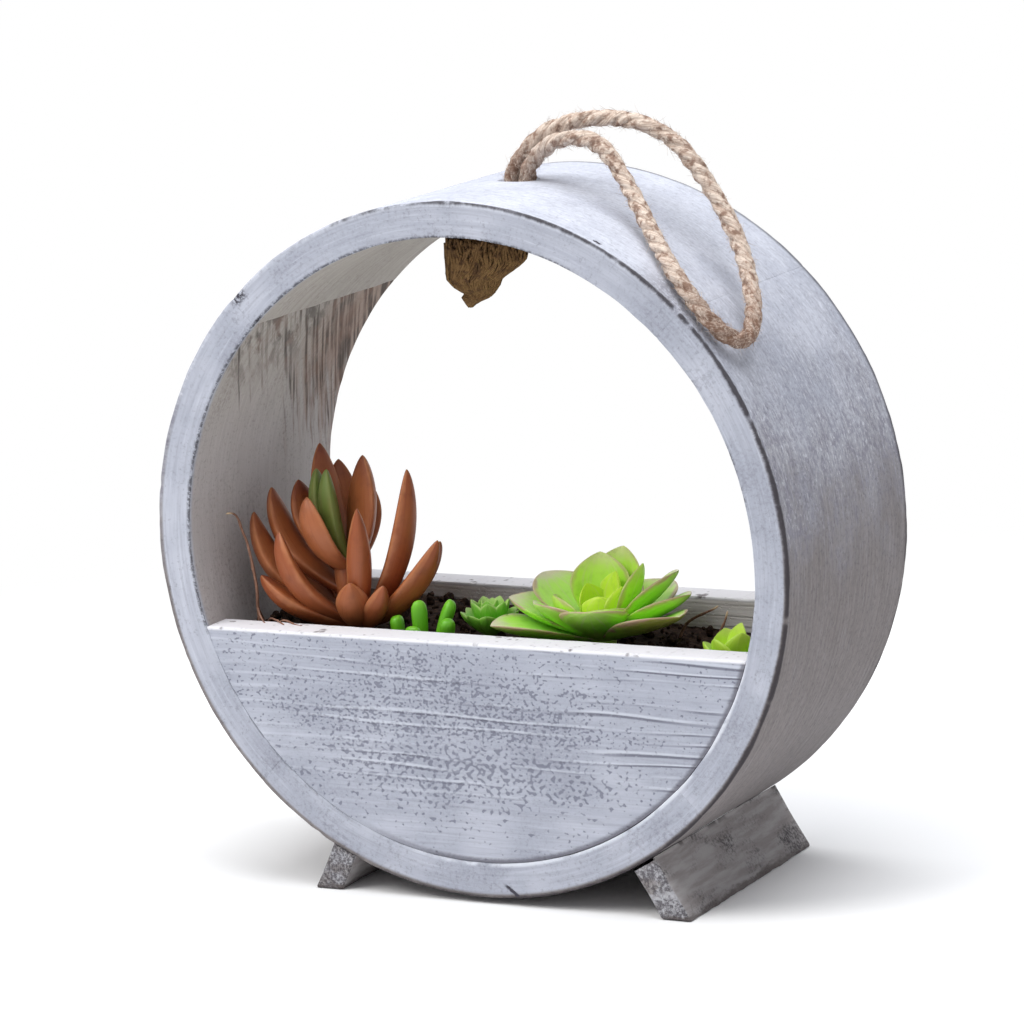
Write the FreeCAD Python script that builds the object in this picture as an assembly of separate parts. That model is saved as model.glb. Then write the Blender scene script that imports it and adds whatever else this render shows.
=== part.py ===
import FreeCAD, Part
import math
import os

# Round wooden trough planter with a rope hanging loop and two splayed feet.
# Millimetres and degrees. The origin is on the floor under the middle of the ring,
# +X to the right, +Y to the back, +Z up.

# Ring: four quarter segments of one hoop, seams at the diagonals
RING_DIAMETER = 250.0
RING_WALL = 13.0
RING_DEPTH = 104.0
RING_LIFT = 2.0
RING_EDGE_ROUND = 0.8
FIRST_SEAM = -45.0
SEGMENTS = ("ring_right", "ring_top", "ring_left", "ring_bottom")

# Dowels across each seam
DOWEL_DIAMETER = 6.0
DOWEL_LENGTH = 24.0
DOWEL_SPACING = 56.0
DOWEL_FIT = 0.05
DOWEL_END_ROOM = 0.5

# Boards that close the lower part of the ring at the front and the back
BOARD_THICKNESS = 13.0
BOARD_TOP_DROP = 32.0
BOARD_SETBACK = 0.8
BOARD_FIT = 0.15
BOARD_EDGE_ROUND = 0.8

# Pins driven through the ring into the edges of the boards
PIN_DIAMETER = 1.8
PIN_BITE = 12.0
PIN_SINK = 0.5
PIN_FIT = 0.05
PIN_ANGLES = (206.0, 252.0, 288.0, 334.0)

# Feet: two splayed blocks glued and screwed under the ring
FOOT_THICKNESS = 10.0
FOOT_END_INSET = 0.5
FOOT_GLUE_GAP = 0.1
LEFT_FOOT_SPLAY = 26.5
RIGHT_FOOT_SPLAY = 31.0

# Countersunk screws from inside the ring into the feet
SCREW_SHANK = 3.5
SCREW_HEAD = 7.0
SCREW_BITE = 11.0
SCREW_SINK = 0.4
SCREW_SPACING = 60.0
SCREW_FIT = 0.05

# Rope: one length, doubled through a hole at the top of the ring and knotted inside
ROPE_DIAMETER = 6.6
ROPE_HOLE_DIAMETER = 15.0
ROPE_HOLE_Y = 5.0
ROPE_BEND_GAP = 0.3
ARC_SHARE = 0.45
KNOT_RADIUS = 11.5
KNOT_WRAP_RADIUS = 9.5
KNOT_WRAP_THICKNESS = 9.0
KNOT_CENTRE = (-7.5, -7.5, -28.5)
KNOT_WRAP_AXIS = (0.5, 0.3, 1.0)
TAIL_LENGTH = 8.0
TAIL_TIP_DIAMETER = 4.0
TAIL_DIRECTION = (-0.5, -0.1, -1.0)

# Rope routes, from the middle of the hole's mouth on the outside of the ring
FRONT_STEM = ((-1.4, -4.7, -26.5), (3.4, -0.8, -15.5), (3.5, -0.6, -2.0), (4.7, -1.0, 4.6))
REAR_STEM = ((-8.8, -4.0, -25.5), (-3.9, 0.3, -15.5), (-3.5, 0.6, -2.0), (-2.5, 1.7, 4.0))
LOOP = (
    (13.4, -2.7, 12.5), (23.0, -5.0, 15.6), (33.2, -8.0, 15.4), (41.1, -11.0, 11.7),
    (48.2, -15.0, 4.5), (56.5, -21.0, -4.2), (66.0, -30.0, -13.0), (76.6, -40.5, -21.4),
    (86.1, -48.5, -28.6), (93.1, -51.5, -35.6), (99.5, -51.5, -42.6), (104.9, -47.5, -47.8),
    (106.4, -40.0, -47.9), (104.6, -32.0, -42.2), (99.8, -22.0, -35.0), (93.4, -13.0, -26.0),
    (86.8, -6.0, -17.0), (78.8, -1.0, -7.0), (69.7, 3.0, 3.5), (61.0, 5.0, 12.6),
    (50.3, 6.0, 18.7), (37.5, 6.0, 21.2), (24.8, 5.5, 21.0), (13.6, 4.5, 18.1), (4.6, 3.5, 12.9),
)

# Soil: fills the trough, higher at the left end than at the right
SOIL_LEFT_DROP = 3.0
SOIL_RIGHT_DROP = 14.0
SOIL_FIT = 0.3

# Leaves: swell of the outline along the midrib, and the corners of a section
SPINDLE = ((0.0, 0.42), (0.25, 0.8), (0.5, 1.0), (0.8, 0.66))
PADDLE = ((0.0, 0.34), (0.35, 0.72), (0.65, 1.0), (0.87, 0.7))
LEAF_SIDES = 6

# Brown succulent near the left end: a leaning stem with a lower and an upper whorl
BROWN_FROM_LEFT_END = 44.0
BROWN_FROM_FRONT_BOARD = 20.0
BROWN_STEM_DIAMETER = 11.0
BROWN_STEM_TOP = (-6.0, 2.0, 19.0)
BROWN_LOW_WHORL = (0.0, 0.0, 6.0)
BROWN_HIGH_WHORL = (-5.0, 2.0, 16.0)
BROWN_LEAF_WIDTH = 9.8
BROWN_LEAF_THICKNESS = 7.0
BROWN_LEAF_ROOT = 3.5
BROWN_LOW_TIPS = (
    (-31, -15, 21), (-21, -17, 38), (6, -15, 20), (18, -12, 19), (37, -4, 35), (22, 3, 59),
    (9, -12, 47), (27, 16, 30), (-4, 25, 36), (-28, 20, 30),
)
BROWN_HIGH_TIPS = (
    (-39, -4, 42), (-35, 3, 50), (-27, 9, 52), (-11, -10, 50), (-20, 14, 65), (-16, 20, 58),
    (0, 10, 62), (-8, 1, 57), (-15, 5, 56), (6, 24, 50),
)

# Green rosette right of the middle: broad leaves about a low core
ROSETTE_FROM_MIDDLE = 28.0
ROSETTE_FROM_FRONT_BOARD = 35.0
ROSETTE_CORE_DIAMETER = 16.0
ROSETTE_CORE_HEIGHT = 5.0
ROSETTE_WHORL_HEIGHT = 8.0
ROSETTE_LEAF_ROOT = 5.0
ROSETTE_LEAF_THICKNESS = 4.4
ROSETTE_OUTER_WIDTH = 22.0
ROSETTE_INNER_WIDTH = 15.0
ROSETTE_OUTER_TIPS = (
    (-31, -26, 11), (-34, -5, 17), (-28, 12, 23), (-12, 30, 19), (14, 31, 18), (25, 14, 26),
    (34, 4, 20), (37, -11, 17), (22, -28, 20), (-15, -22, 19),
)
ROSETTE_INNER_TIPS = ((0, 17, 33), (-5, 3, 33), (15, 2, 32), (6, -9, 29), (-12, -7, 27))

# Bean-like sedum behind the front board: place from the middle and the board, then the rise
BEAN_DIAMETER = 6.4
BEANS = (
    ((-41, 11), (-1, 0, 6)), ((-33, 12), (-1, 1, 12)), ((-26, 11), (5, 3, 13)),
    ((-21, 8), (2, -1, 8)), ((-33, 5), (0, 1, 4)),
)

# Small tuft between the beans and the rosette
TUFT_FROM_MIDDLE = -13.0
TUFT_FROM_FRONT_BOARD = 28.0
TUFT_LEAVES = 8
TUFT_REACH = 9.0
TUFT_RISE = 10.0
TUFT_LEAF_WIDTH = 5.6
TUFT_LEAF_THICKNESS = 3.2
TUFT_CORE_DIAMETER = 6.0
TUFT_LEAF_ROOT = 2.0

# Lime sprig at the right end
SPRIG_FROM_RIGHT_END = 19.0
SPRIG_FROM_FRONT_BOARD = 18.0
SPRIG_CORE_DIAMETER = 6.0
SPRIG_LEAF_ROOT = 2.0
SPRIG_LEAF_WIDTH = 7.0
SPRIG_LEAF_THICKNESS = 3.0
SPRIG_TIPS = ((-8, -3, 9), (-2, -6, 12), (5, -3, 13), (8, 4, 9), (-3, 7, 10), (3, 3, 15))

# Dry twigs: bends from where each one stands in the soil
TWIG_DIAMETER = 1.6
LEFT_TWIG_FROM_LEFT_END = 10.0
LEFT_TWIG_FROM_FRONT_BOARD = 8.0
LEFT_TWIG = ((0, 0, 0), (-1, -0.5, 14), (-6, 0, 31), (-8, 1, 38))
RIGHT_TWIGS_FROM_RIGHT_END = 49.0
RIGHT_TWIGS_FROM_FRONT_BOARD = 48.0
RIGHT_TWIGS = (
    ((0, 0, 0), (5, -2, 8), (13, -4, 13)),
    ((15, -14, 0), (17, -14, 8), (21, -15, 15)),
)

# Worked out from the sizes above
RING_RADIUS = RING_DIAMETER / 2
INNER_RADIUS = RING_RADIUS - RING_WALL
MID_RADIUS = RING_RADIUS - RING_WALL / 2
CENTRE_Z = RING_LIFT + RING_RADIUS
FRONT_Y = -RING_DEPTH / 2
BACK_Y = RING_DEPTH / 2
FRONT_BOARD_Y = FRONT_Y + BOARD_SETBACK
BACK_BOARD_Y = BACK_Y - BOARD_SETBACK - BOARD_THICKNESS
BOARD_TOP_Z = CENTRE_Z - BOARD_TOP_DROP
TROUGH_FRONT_Y = FRONT_BOARD_Y + BOARD_THICKNESS
TROUGH_HALF_X = math.sqrt(INNER_RADIUS ** 2 - BOARD_TOP_DROP ** 2)
ROPE_RADIUS = ROPE_DIAMETER / 2
MOUTH = FreeCAD.Vector(0, ROPE_HOLE_Y, CENTRE_Z + RING_RADIUS)
SCREW_HEAD_DEPTH = (SCREW_HEAD - SCREW_SHANK) / 2
SCREW_LENGTH = RING_WALL - SCREW_SINK + FOOT_GLUE_GAP + SCREW_BITE
STRAIGHT_UP = 90.0
STRAIGHT_DOWN = 270.0
FOOT_ANGLES = (STRAIGHT_DOWN - LEFT_FOOT_SPLAY, STRAIGHT_DOWN + RIGHT_FOOT_SPLAY)
FAR = 4 * RING_DIAMETER


def vec(point):
    return FreeCAD.Vector(*point)


def radial(angle):
    """Unit direction from the ring's centre, with 0 to the right and 90 up."""
    turn = math.radians(angle)
    return FreeCAD.Vector(math.cos(turn), 0, math.sin(turn))


def on_ring(angle, radius, y):
    """Point at a radius and an angle about the ring's axis."""
    return FreeCAD.Vector(0, y, CENTRE_Z) + radial(angle) * radius


def disc(radius, y, thickness):
    """Round plate on the ring's axis, from y towards the back."""
    return Part.makeCylinder(radius, thickness, FreeCAD.Vector(0, y, CENTRE_Z), FreeCAD.Vector(0, 1, 0))


def rod(radius, start, direction, length):
    """Round bar from a point along a direction."""
    return Part.makeCylinder(radius, length, start, direction)


def union(shapes):
    """One solid from shapes that run into each other."""
    return shapes[0].multiFuse(shapes[1:]).removeSplitter()


def hoop():
    """The whole ring with its four circular edges worn round."""
    ring = disc(RING_RADIUS, FRONT_Y, RING_DEPTH).cut(disc(INNER_RADIUS, FRONT_Y, RING_DEPTH))
    rims = [edge for edge in ring.Edges if edge.Closed]
    return ring.makeFillet(RING_EDGE_ROUND, rims)


def wedge(start, sweep):
    """Pie slice about the ring's axis that cuts one segment out of the hoop."""
    pie = Part.makeCylinder(FAR, RING_DEPTH, vec((0, 0, -RING_DEPTH / 2)), vec((0, 0, 1)), sweep)
    pie.rotate(vec((0, 0, 0)), vec((0, 0, 1)), start)
    pie.rotate(vec((0, 0, 0)), vec((1, 0, 0)), 90)
    pie.translate(vec((0, 0, CENTRE_Z)))
    return pie


def seam_rods(radius, length):
    """Rods across the seams, two to a seam, square to it at the middle of the wall."""
    rods = []
    for index in range(len(SEGMENTS)):
        angle = FIRST_SEAM + index * 360.0 / len(SEGMENTS)
        along = radial(angle + 90)
        for y in (-DOWEL_SPACING / 2, DOWEL_SPACING / 2):
            rods.append(rod(radius, on_ring(angle, MID_RADIUS, y) - along * (length / 2), along, length))
    return rods


def pin_rods(radius, sink, bite):
    """Rods from the outside of the ring into the edges of both boards."""
    rods = []
    for board_y in (FRONT_BOARD_Y, BACK_BOARD_Y):
        for angle in PIN_ANGLES:
            start = on_ring(angle, RING_RADIUS - sink, board_y + BOARD_THICKNESS / 2)
            rods.append(rod(radius, start, radial(angle) * -1, RING_WALL - sink + bite))
    return rods


def screw_shapes(clearance, length):
    """Screws from inside the ring, two to a foot, with a countersunk head."""
    head_radius = SCREW_HEAD / 2 + clearance
    shank_radius = SCREW_SHANK / 2 + clearance
    screws = []
    for angle in FOOT_ANGLES:
        for y in (-SCREW_SPACING / 2, SCREW_SPACING / 2):
            start = on_ring(angle, INNER_RADIUS + SCREW_SINK, y)
            head = Part.makeCone(head_radius, shank_radius, SCREW_HEAD_DEPTH, start, radial(angle))
            screws.append(union([head, rod(shank_radius, start, radial(angle), length)]))
    return screws


def screw_ways():
    """Room for the screws: their shapes with clearance, open to the inside of the ring."""
    ways = screw_shapes(SCREW_FIT, SCREW_LENGTH + SCREW_FIT)
    for angle in FOOT_ANGLES:
        for y in (-SCREW_SPACING / 2, SCREW_SPACING / 2):
            mouth = on_ring(angle, INNER_RADIUS - SCREW_SINK, y)
            ways.append(rod(SCREW_HEAD / 2 + SCREW_FIT, mouth, radial(angle), 2 * SCREW_SINK))
    return ways


def board(y):
    """Circular segment that fits inside the ring, flat at the top."""
    plate = disc(INNER_RADIUS - BOARD_FIT, y, BOARD_THICKNESS)
    below = Part.makeBox(FAR, FAR, FAR, vec((-FAR / 2, -FAR / 2, BOARD_TOP_Z - FAR)))
    plate = plate.common(below)
    top = [edge for edge in plate.Edges if edge.BoundBox.ZMin > BOARD_TOP_Z - BOARD_EDGE_ROUND]
    long_edges = [edge for edge in top if edge.BoundBox.XLength > BOARD_EDGE_ROUND]
    return plate.makeFillet(BOARD_EDGE_ROUND, long_edges)


def foot(angle):
    """Splayed block, coped to the ring above and cut level with the floor below."""
    length = RING_DEPTH - 2 * FOOT_END_INSET
    block = Part.makeBox(FOOT_THICKNESS, length, RING_RADIUS + CENTRE_Z)
    block.translate(vec((-FOOT_THICKNESS / 2, -length / 2, 0)))
    block.rotate(vec((0, 0, 0)), vec((0, 1, 0)), 90 - angle)
    block.translate(vec((0, 0, CENTRE_Z)))
    above_floor = Part.makeBox(FAR, FAR, FAR, vec((-FAR / 2, -FAR / 2, 0)))
    ring_room = disc(RING_RADIUS + FOOT_GLUE_GAP, FRONT_Y, RING_DEPTH)
    return block.common(above_floor).cut(ring_room)


def rounded_route(points):
    """Straight runs joined by tangent arcs, each arc as large as its two runs allow."""
    edges = []
    radii = []
    start = points[0]
    for before, corner, after in zip(points, points[1:], points[2:]):
        back = before - corner
        ahead = after - corner
        cut = ARC_SHARE * min(back.Length, ahead.Length)
        half_inside = back.getAngle(ahead) / 2
        radius = cut * math.tan(half_inside)
        back.normalize()
        ahead.normalize()
        inwards = back + ahead
        inwards.normalize()
        entry = corner + back * cut
        leave = corner + ahead * cut
        middle = corner + inwards * (cut / math.cos(half_inside) - radius)
        edges.append(Part.LineSegment(start, entry).toShape())
        edges.append(Part.Arc(entry, middle, leave).toShape())
        radii.append(radius)
        start = leave
    edges.append(Part.LineSegment(start, points[-1]).toShape())
    return Part.Wire(edges), radii


def dome(centre, direction):
    """Half ball that closes the end of a rope."""
    return Part.makeSphere(ROPE_RADIUS, centre, direction, 0, 90, 360)


def stem_route(stem, loop_end):
    """The stem's points and its last one, a round end short of the loop's own round end."""
    back = vec(stem[-1]) - vec(loop_end)
    back.normalize()
    return stem + (vec(loop_end) + back * (ROPE_DIAMETER + ROPE_BEND_GAP),)


def rope_tube(name, route, round_start, round_end):
    """Tube of the rope's thickness along a route, with round ends where the rope bends."""
    points = [MOUTH + FreeCAD.Vector(*point) for point in route]
    path, radii = rounded_route(points)
    first = points[1] - points[0]
    last = points[-1] - points[-2]
    section = Part.Wire(Part.makeCircle(ROPE_RADIUS, points[0], first))
    tube = path.makePipeShell([section], True, False)
    expected = math.pi * ROPE_RADIUS ** 2 * path.Length
    print(name, "length %.1f" % path.Length, "volume over section x length %.4f" % (tube.Volume / expected))
    print("  radii", " ".join("%.1f" % radius for radius in radii))
    ends = []
    if round_start:
        ends.append(dome(points[0], first * -1))
    if round_end:
        ends.append(dome(points[-1], last))
    return union([tube] + ends) if ends else tube


def knot():
    """Overhand knot: a round lump with one turn of the rope wrapped about it."""
    centre = MOUTH + vec(KNOT_CENTRE)
    lump = Part.makeSphere(KNOT_RADIUS, centre)
    wrap = Part.makeTorus(KNOT_WRAP_RADIUS, KNOT_WRAP_THICKNESS / 2, centre, vec(KNOT_WRAP_AXIS))
    return union([lump, wrap])


def tail(knot_shape):
    """Frayed end that hangs out under the knot."""
    direction = vec(TAIL_DIRECTION)
    direction.normalize()
    start = MOUTH + vec(KNOT_CENTRE) + direction * (KNOT_RADIUS - ROPE_RADIUS)
    length = ROPE_RADIUS + TAIL_LENGTH
    return Part.makeCone(ROPE_RADIUS, TAIL_TIP_DIAMETER / 2, length, start, direction).cut(knot_shape)


def soil_z(x):
    """Height of the soil's sloping top over x."""
    share = (x + TROUGH_HALF_X) / (2 * TROUGH_HALF_X)
    return BOARD_TOP_Z - SOIL_LEFT_DROP - share * (SOIL_RIGHT_DROP - SOIL_LEFT_DROP)


def under_soil_top():
    """Everything below the soil's top, as a block."""
    corners = [vec((x, -FAR / 2, z)) for x, z in (
        (-FAR / 2, soil_z(-FAR / 2)), (FAR / 2, soil_z(FAR / 2)), (FAR / 2, -FAR), (-FAR / 2, -FAR))]
    return Part.Face(Part.makePolygon(corners + corners[:1])).extrude(vec((0, FAR, 0)))


def soil():
    """Soil between the boards, close to the ring below."""
    filling = disc(INNER_RADIUS - SOIL_FIT, TROUGH_FRONT_Y, BACK_BOARD_Y - TROUGH_FRONT_Y)
    return filling.common(under_soil_top())


def on_soil(x, from_front_board):
    """Point on the soil's top, by its distance behind the front board."""
    return FreeCAD.Vector(x, TROUGH_FRONT_Y + from_front_board, soil_z(x))


def leaf(whorl, tip, root, width, thickness, outline):
    """Fleshy pointed leaf from a whorl: flat sections that swell along the midrib, broad side up."""
    along = tip - whorl
    along.normalize()
    start = whorl + along * root
    length = (tip - start).Length
    across = vec((0, 0, 1)).cross(along)
    across.normalize()
    up = along.cross(across)
    turns = [2 * math.pi * side / LEAF_SIDES for side in range(LEAF_SIDES)]
    sections = []
    for share, swell in outline:
        middle = start + along * (share * length)
        wide = across * (swell * width / 2)
        thick = up * (swell * thickness / 2)
        sections.append([middle + wide * math.cos(turn) + thick * math.sin(turn) for turn in turns])
    panels = [sections[0]]
    for side in range(LEAF_SIDES):
        after = (side + 1) % LEAF_SIDES
        for lower, upper in zip(sections, sections[1:]):
            panels.append([lower[side], lower[after], upper[after], upper[side]])
        panels.append([sections[-1][side], sections[-1][after], tip])
    faces = [Part.Face(Part.makePolygon(panel + panel[:1])) for panel in panels]
    return Part.makeSolid(Part.makeShell(faces))


def whorl_leaves(place, whorl, tips, root, width, thickness, outline):
    """Leaves from one whorl, with their tips measured from the plant's place."""
    return [leaf(place + vec(whorl), place + vec(tip), root, width, thickness, outline) for tip in tips]


def plant(core, leaves):
    """Leaves grown together at the core, standing on the soil."""
    return core.multiFuse(leaves).cut(under_soil_top())


def brown_succulent():
    place = on_soil(-TROUGH_HALF_X + BROWN_FROM_LEFT_END, BROWN_FROM_FRONT_BOARD)
    lean = vec(BROWN_STEM_TOP)
    stem = rod(BROWN_STEM_DIAMETER / 2, place - lean, lean, 2 * lean.Length)
    size = (BROWN_LEAF_ROOT, BROWN_LEAF_WIDTH, BROWN_LEAF_THICKNESS, SPINDLE)
    leaves = whorl_leaves(place, BROWN_LOW_WHORL, BROWN_LOW_TIPS, *size)
    leaves += whorl_leaves(place, BROWN_HIGH_WHORL, BROWN_HIGH_TIPS, *size)
    return plant(stem, leaves)


def green_rosette():
    place = on_soil(ROSETTE_FROM_MIDDLE, ROSETTE_FROM_FRONT_BOARD)
    core = Part.makeSphere(ROSETTE_CORE_DIAMETER / 2, place + vec((0, 0, ROSETTE_CORE_HEIGHT)))
    whorl = (0, 0, ROSETTE_WHORL_HEIGHT)
    outer = (ROSETTE_LEAF_ROOT, ROSETTE_OUTER_WIDTH, ROSETTE_LEAF_THICKNESS, PADDLE)
    inner = (ROSETTE_LEAF_ROOT, ROSETTE_INNER_WIDTH, ROSETTE_LEAF_THICKNESS, PADDLE)
    leaves = whorl_leaves(place, whorl, ROSETTE_OUTER_TIPS, *outer)
    leaves += whorl_leaves(place, whorl, ROSETTE_INNER_TIPS, *inner)
    return plant(core, leaves)


def bean_sedum():
    beans = []
    for (x, from_front_board), rise in BEANS:
        place = on_soil(x, from_front_board)
        top = vec(rise)
        body = rod(BEAN_DIAMETER / 2, place - top, top, 2 * top.Length)
        cap = Part.makeSphere(BEAN_DIAMETER / 2, place + top)
        beans.append(union([body, cap]).cut(under_soil_top()))
    return Part.makeCompound(beans)


def small_tuft():
    place = on_soil(TUFT_FROM_MIDDLE, TUFT_FROM_FRONT_BOARD)
    core = Part.makeSphere(TUFT_CORE_DIAMETER / 2, place)
    turns = [2 * math.pi * index / TUFT_LEAVES for index in range(TUFT_LEAVES)]
    tips = [(TUFT_REACH * math.cos(turn), TUFT_REACH * math.sin(turn), TUFT_RISE) for turn in turns]
    size = (TUFT_LEAF_ROOT, TUFT_LEAF_WIDTH, TUFT_LEAF_THICKNESS, PADDLE)
    return plant(core, whorl_leaves(place, (0, 0, 0), tips, *size))


def lime_sprig():
    place = on_soil(TROUGH_HALF_X - SPRIG_FROM_RIGHT_END, SPRIG_FROM_FRONT_BOARD)
    core = Part.makeSphere(SPRIG_CORE_DIAMETER / 2, place)
    size = (SPRIG_LEAF_ROOT, SPRIG_LEAF_WIDTH, SPRIG_LEAF_THICKNESS, PADDLE)
    return plant(core, whorl_leaves(place, (0, 0, 0), SPRIG_TIPS, *size))


def twig(place, bends):
    """Thin bent stick from the soil upwards."""
    points = [place + vec(bend) for bend in bends]
    points[0].z = soil_z(points[0].x) - TWIG_DIAMETER
    radius = TWIG_DIAMETER / 2
    runs = [rod(radius, low, high - low, (high - low).Length) for low, high in zip(points, points[1:])]
    knuckles = [Part.makeSphere(radius, point) for point in points[1:]]
    return union(runs + knuckles).cut(under_soil_top())


def dry_twigs():
    left = on_soil(-TROUGH_HALF_X + LEFT_TWIG_FROM_LEFT_END, LEFT_TWIG_FROM_FRONT_BOARD)
    right = on_soil(TROUGH_HALF_X - RIGHT_TWIGS_FROM_RIGHT_END, RIGHT_TWIGS_FROM_FRONT_BOARD)
    return Part.makeCompound([twig(left, LEFT_TWIG)] + [twig(right, bends) for bends in RIGHT_TWIGS])


def ways():
    """Every hole of the joints and the rope, as one tool that drills the wooden pieces."""
    holes = seam_rods(DOWEL_DIAMETER / 2 + DOWEL_FIT, DOWEL_LENGTH + 2 * DOWEL_END_ROOM)
    holes += pin_rods(PIN_DIAMETER / 2 + PIN_FIT, 0, PIN_BITE + PIN_FIT)
    holes += screw_ways()
    holes.append(rod(ROPE_HOLE_DIAMETER / 2, on_ring(0, 0, ROPE_HOLE_Y), radial(STRAIGHT_UP), FAR))
    return Part.makeCompound(holes)


def build():
    pieces = {}
    holes = ways()
    drilled = hoop().cut(holes)
    sweep = 360.0 / len(SEGMENTS)
    for index, name in enumerate(SEGMENTS):
        pieces[name] = drilled.common(wedge(FIRST_SEAM + index * sweep, sweep))
    pieces["seam_dowels"] = Part.makeCompound(seam_rods(DOWEL_DIAMETER / 2, DOWEL_LENGTH))
    pieces["front_board"] = board(FRONT_BOARD_Y).cut(holes)
    pieces["back_board"] = board(BACK_BOARD_Y).cut(holes)
    pieces["board_pins"] = Part.makeCompound(pin_rods(PIN_DIAMETER / 2, PIN_SINK, PIN_BITE))
    for name, angle in zip(("left_foot", "right_foot"), FOOT_ANGLES):
        pieces[name] = foot(angle).cut(holes)
    pieces["foot_screws"] = Part.makeCompound(screw_shapes(0, SCREW_LENGTH))
    pieces["rope_knot"] = knot()
    pieces["rope_tail"] = tail(pieces["rope_knot"])
    for name, stem, loop_end in (("front", FRONT_STEM, LOOP[0]), ("rear", REAR_STEM, LOOP[-1])):
        tube = rope_tube(name + " stem", stem_route(stem, loop_end), False, True)
        pieces["rope_%s_stem" % name] = tube.cut(pieces["rope_knot"])
    pieces["rope_loop"] = rope_tube("loop", LOOP, True, True)
    pieces["potting_soil"] = soil()
    pieces["brown_succulent"] = brown_succulent()
    pieces["green_rosette"] = green_rosette()
    pieces["bean_sedum"] = bean_sedum()
    pieces["small_tuft"] = small_tuft()
    pieces["lime_sprig"] = lime_sprig()
    pieces["dry_twigs"] = dry_twigs()
    return pieces


os.makedirs("parts", exist_ok=True)
for node, shape in build().items():
    shape.exportStep("parts/%s.step" % node)
    print("%-18s solids %d  volume %.0f  valid %s" % (node, len(shape.Solids), shape.Volume, shape.isValid()))
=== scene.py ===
import math

import bmesh
import bpy
import numpy as np
from mathutils import Matrix, Vector


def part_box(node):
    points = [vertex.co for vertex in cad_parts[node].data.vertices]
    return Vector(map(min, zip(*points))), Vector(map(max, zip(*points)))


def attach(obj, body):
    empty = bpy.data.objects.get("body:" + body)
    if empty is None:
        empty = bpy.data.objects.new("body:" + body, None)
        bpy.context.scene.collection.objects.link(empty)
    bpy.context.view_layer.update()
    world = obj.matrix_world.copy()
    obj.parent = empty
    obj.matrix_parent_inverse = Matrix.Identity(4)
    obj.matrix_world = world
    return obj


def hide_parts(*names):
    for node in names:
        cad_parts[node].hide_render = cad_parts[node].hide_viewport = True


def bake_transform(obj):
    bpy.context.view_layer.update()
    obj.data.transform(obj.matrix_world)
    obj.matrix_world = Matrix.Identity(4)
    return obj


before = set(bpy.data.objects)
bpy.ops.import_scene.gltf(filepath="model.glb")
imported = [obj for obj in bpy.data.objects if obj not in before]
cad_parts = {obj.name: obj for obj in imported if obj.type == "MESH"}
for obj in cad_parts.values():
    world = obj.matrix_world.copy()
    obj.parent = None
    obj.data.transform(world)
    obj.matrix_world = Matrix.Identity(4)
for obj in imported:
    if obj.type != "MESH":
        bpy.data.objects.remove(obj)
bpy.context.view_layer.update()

# Ring: four quarter segments of sawn softwood, butted and dowelled at the diagonals and turned to a hoop. A
# thin coat of limewash lets the grain and the pores show. Years of handling have rubbed the rims dark and
# knocked small chips out of them.
RING_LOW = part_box("ring_left")[0]
RING_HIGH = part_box("ring_right")[1]
RING_RADIUS = (RING_HIGH.x - RING_LOW.x) / 2
RING_WALL = 0.013
RING_FRONT = RING_LOW.y
RING_BACK = RING_HIGH.y
RING_CENTRE_Z = (RING_LOW.z + RING_HIGH.z) / 2
INNER_RADIUS = RING_RADIUS - RING_WALL
SEGMENT_STARTS = {"ring_right": -45, "ring_top": 45, "ring_left": 135, "ring_bottom": 225}
SEGMENT_SWEEP = 90.0
SEGMENT_STEPS = 220
RING_STEPS = (7, (56, 10, 56, 10))
SEAM_GAP = 0.00001
SEAM_EASE = 0.00008
SEAM_EASE_DEGREES = 0.75
SEAM_STEPS = (0, 0.15, 0.4, SEAM_EASE_DEGREES)
RIM_WEAR = (0.0010, 0.0010, 0.0008, 0.0007)
RING_WEATHER = 0.00035
CHIP_DEPTH = 0.0030
CHIP_SPREAD = 0.8
# Each chip is given by its degrees round the ring and its share of the full depth.
RIM_CHIPS = (
    (42.4, 0.8), (45.6, 0.7), (58.0, 0.3), (25.0, 0.5), (11.0, 0.3), (-8.0, 0.5), (-22.0, 0.5),
    (132.6, 0.4), (134.4, 0.5), (101.0, 0.2), (171.0, 0.3), (238.0, 0.3), (265.0, 0.4), (292.0, 0.3),
)
NICK = np.array((0.0571, -0.0482, 0.2382))
NICK_SHAPE = np.array((1.0, 1.7, 1.0))
ROPE_CONTACT_SHADE = (0.087, -0.046, 0.216)
SPLIT = ((0.0095, 0.0077), (0.0153, 0.0034))
FILLED_JOINT = (228.0, 36.0)
GROWTH_TILT = math.radians(34)
PITTED_SEAM = math.radians(134)
# In each of these bands one look turns to the next: depths under a face, and heights over the ring's axis.
FACE_BAND = (0.0012, 0.0024)
SHOULDER = (0.05, 0.118)
RUBBED_AND_SHADED_BELOW = (-0.05, 0.10)
BOARD_EDGE = (-0.040, -0.028)
SAWN_FROM = 0.079
SAWN_SLOPE = 5.5
WOOD_RELIEF = 0.00025
ROPE_HOLE_RADIUS = 0.0075
ROPE_HOLE_Y = 0.005


def tone(red, green, blue):
    """Colour from its 0 to 255 values on a screen, each turned by the screen's curve to a share of light."""
    share = np.array((red, green, blue)) / 255
    light = np.where(share <= 0.04045, share / 12.92, ((share + 0.055) / 1.055) ** 2.4)
    return (*light.tolist(), 1.0)


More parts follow.
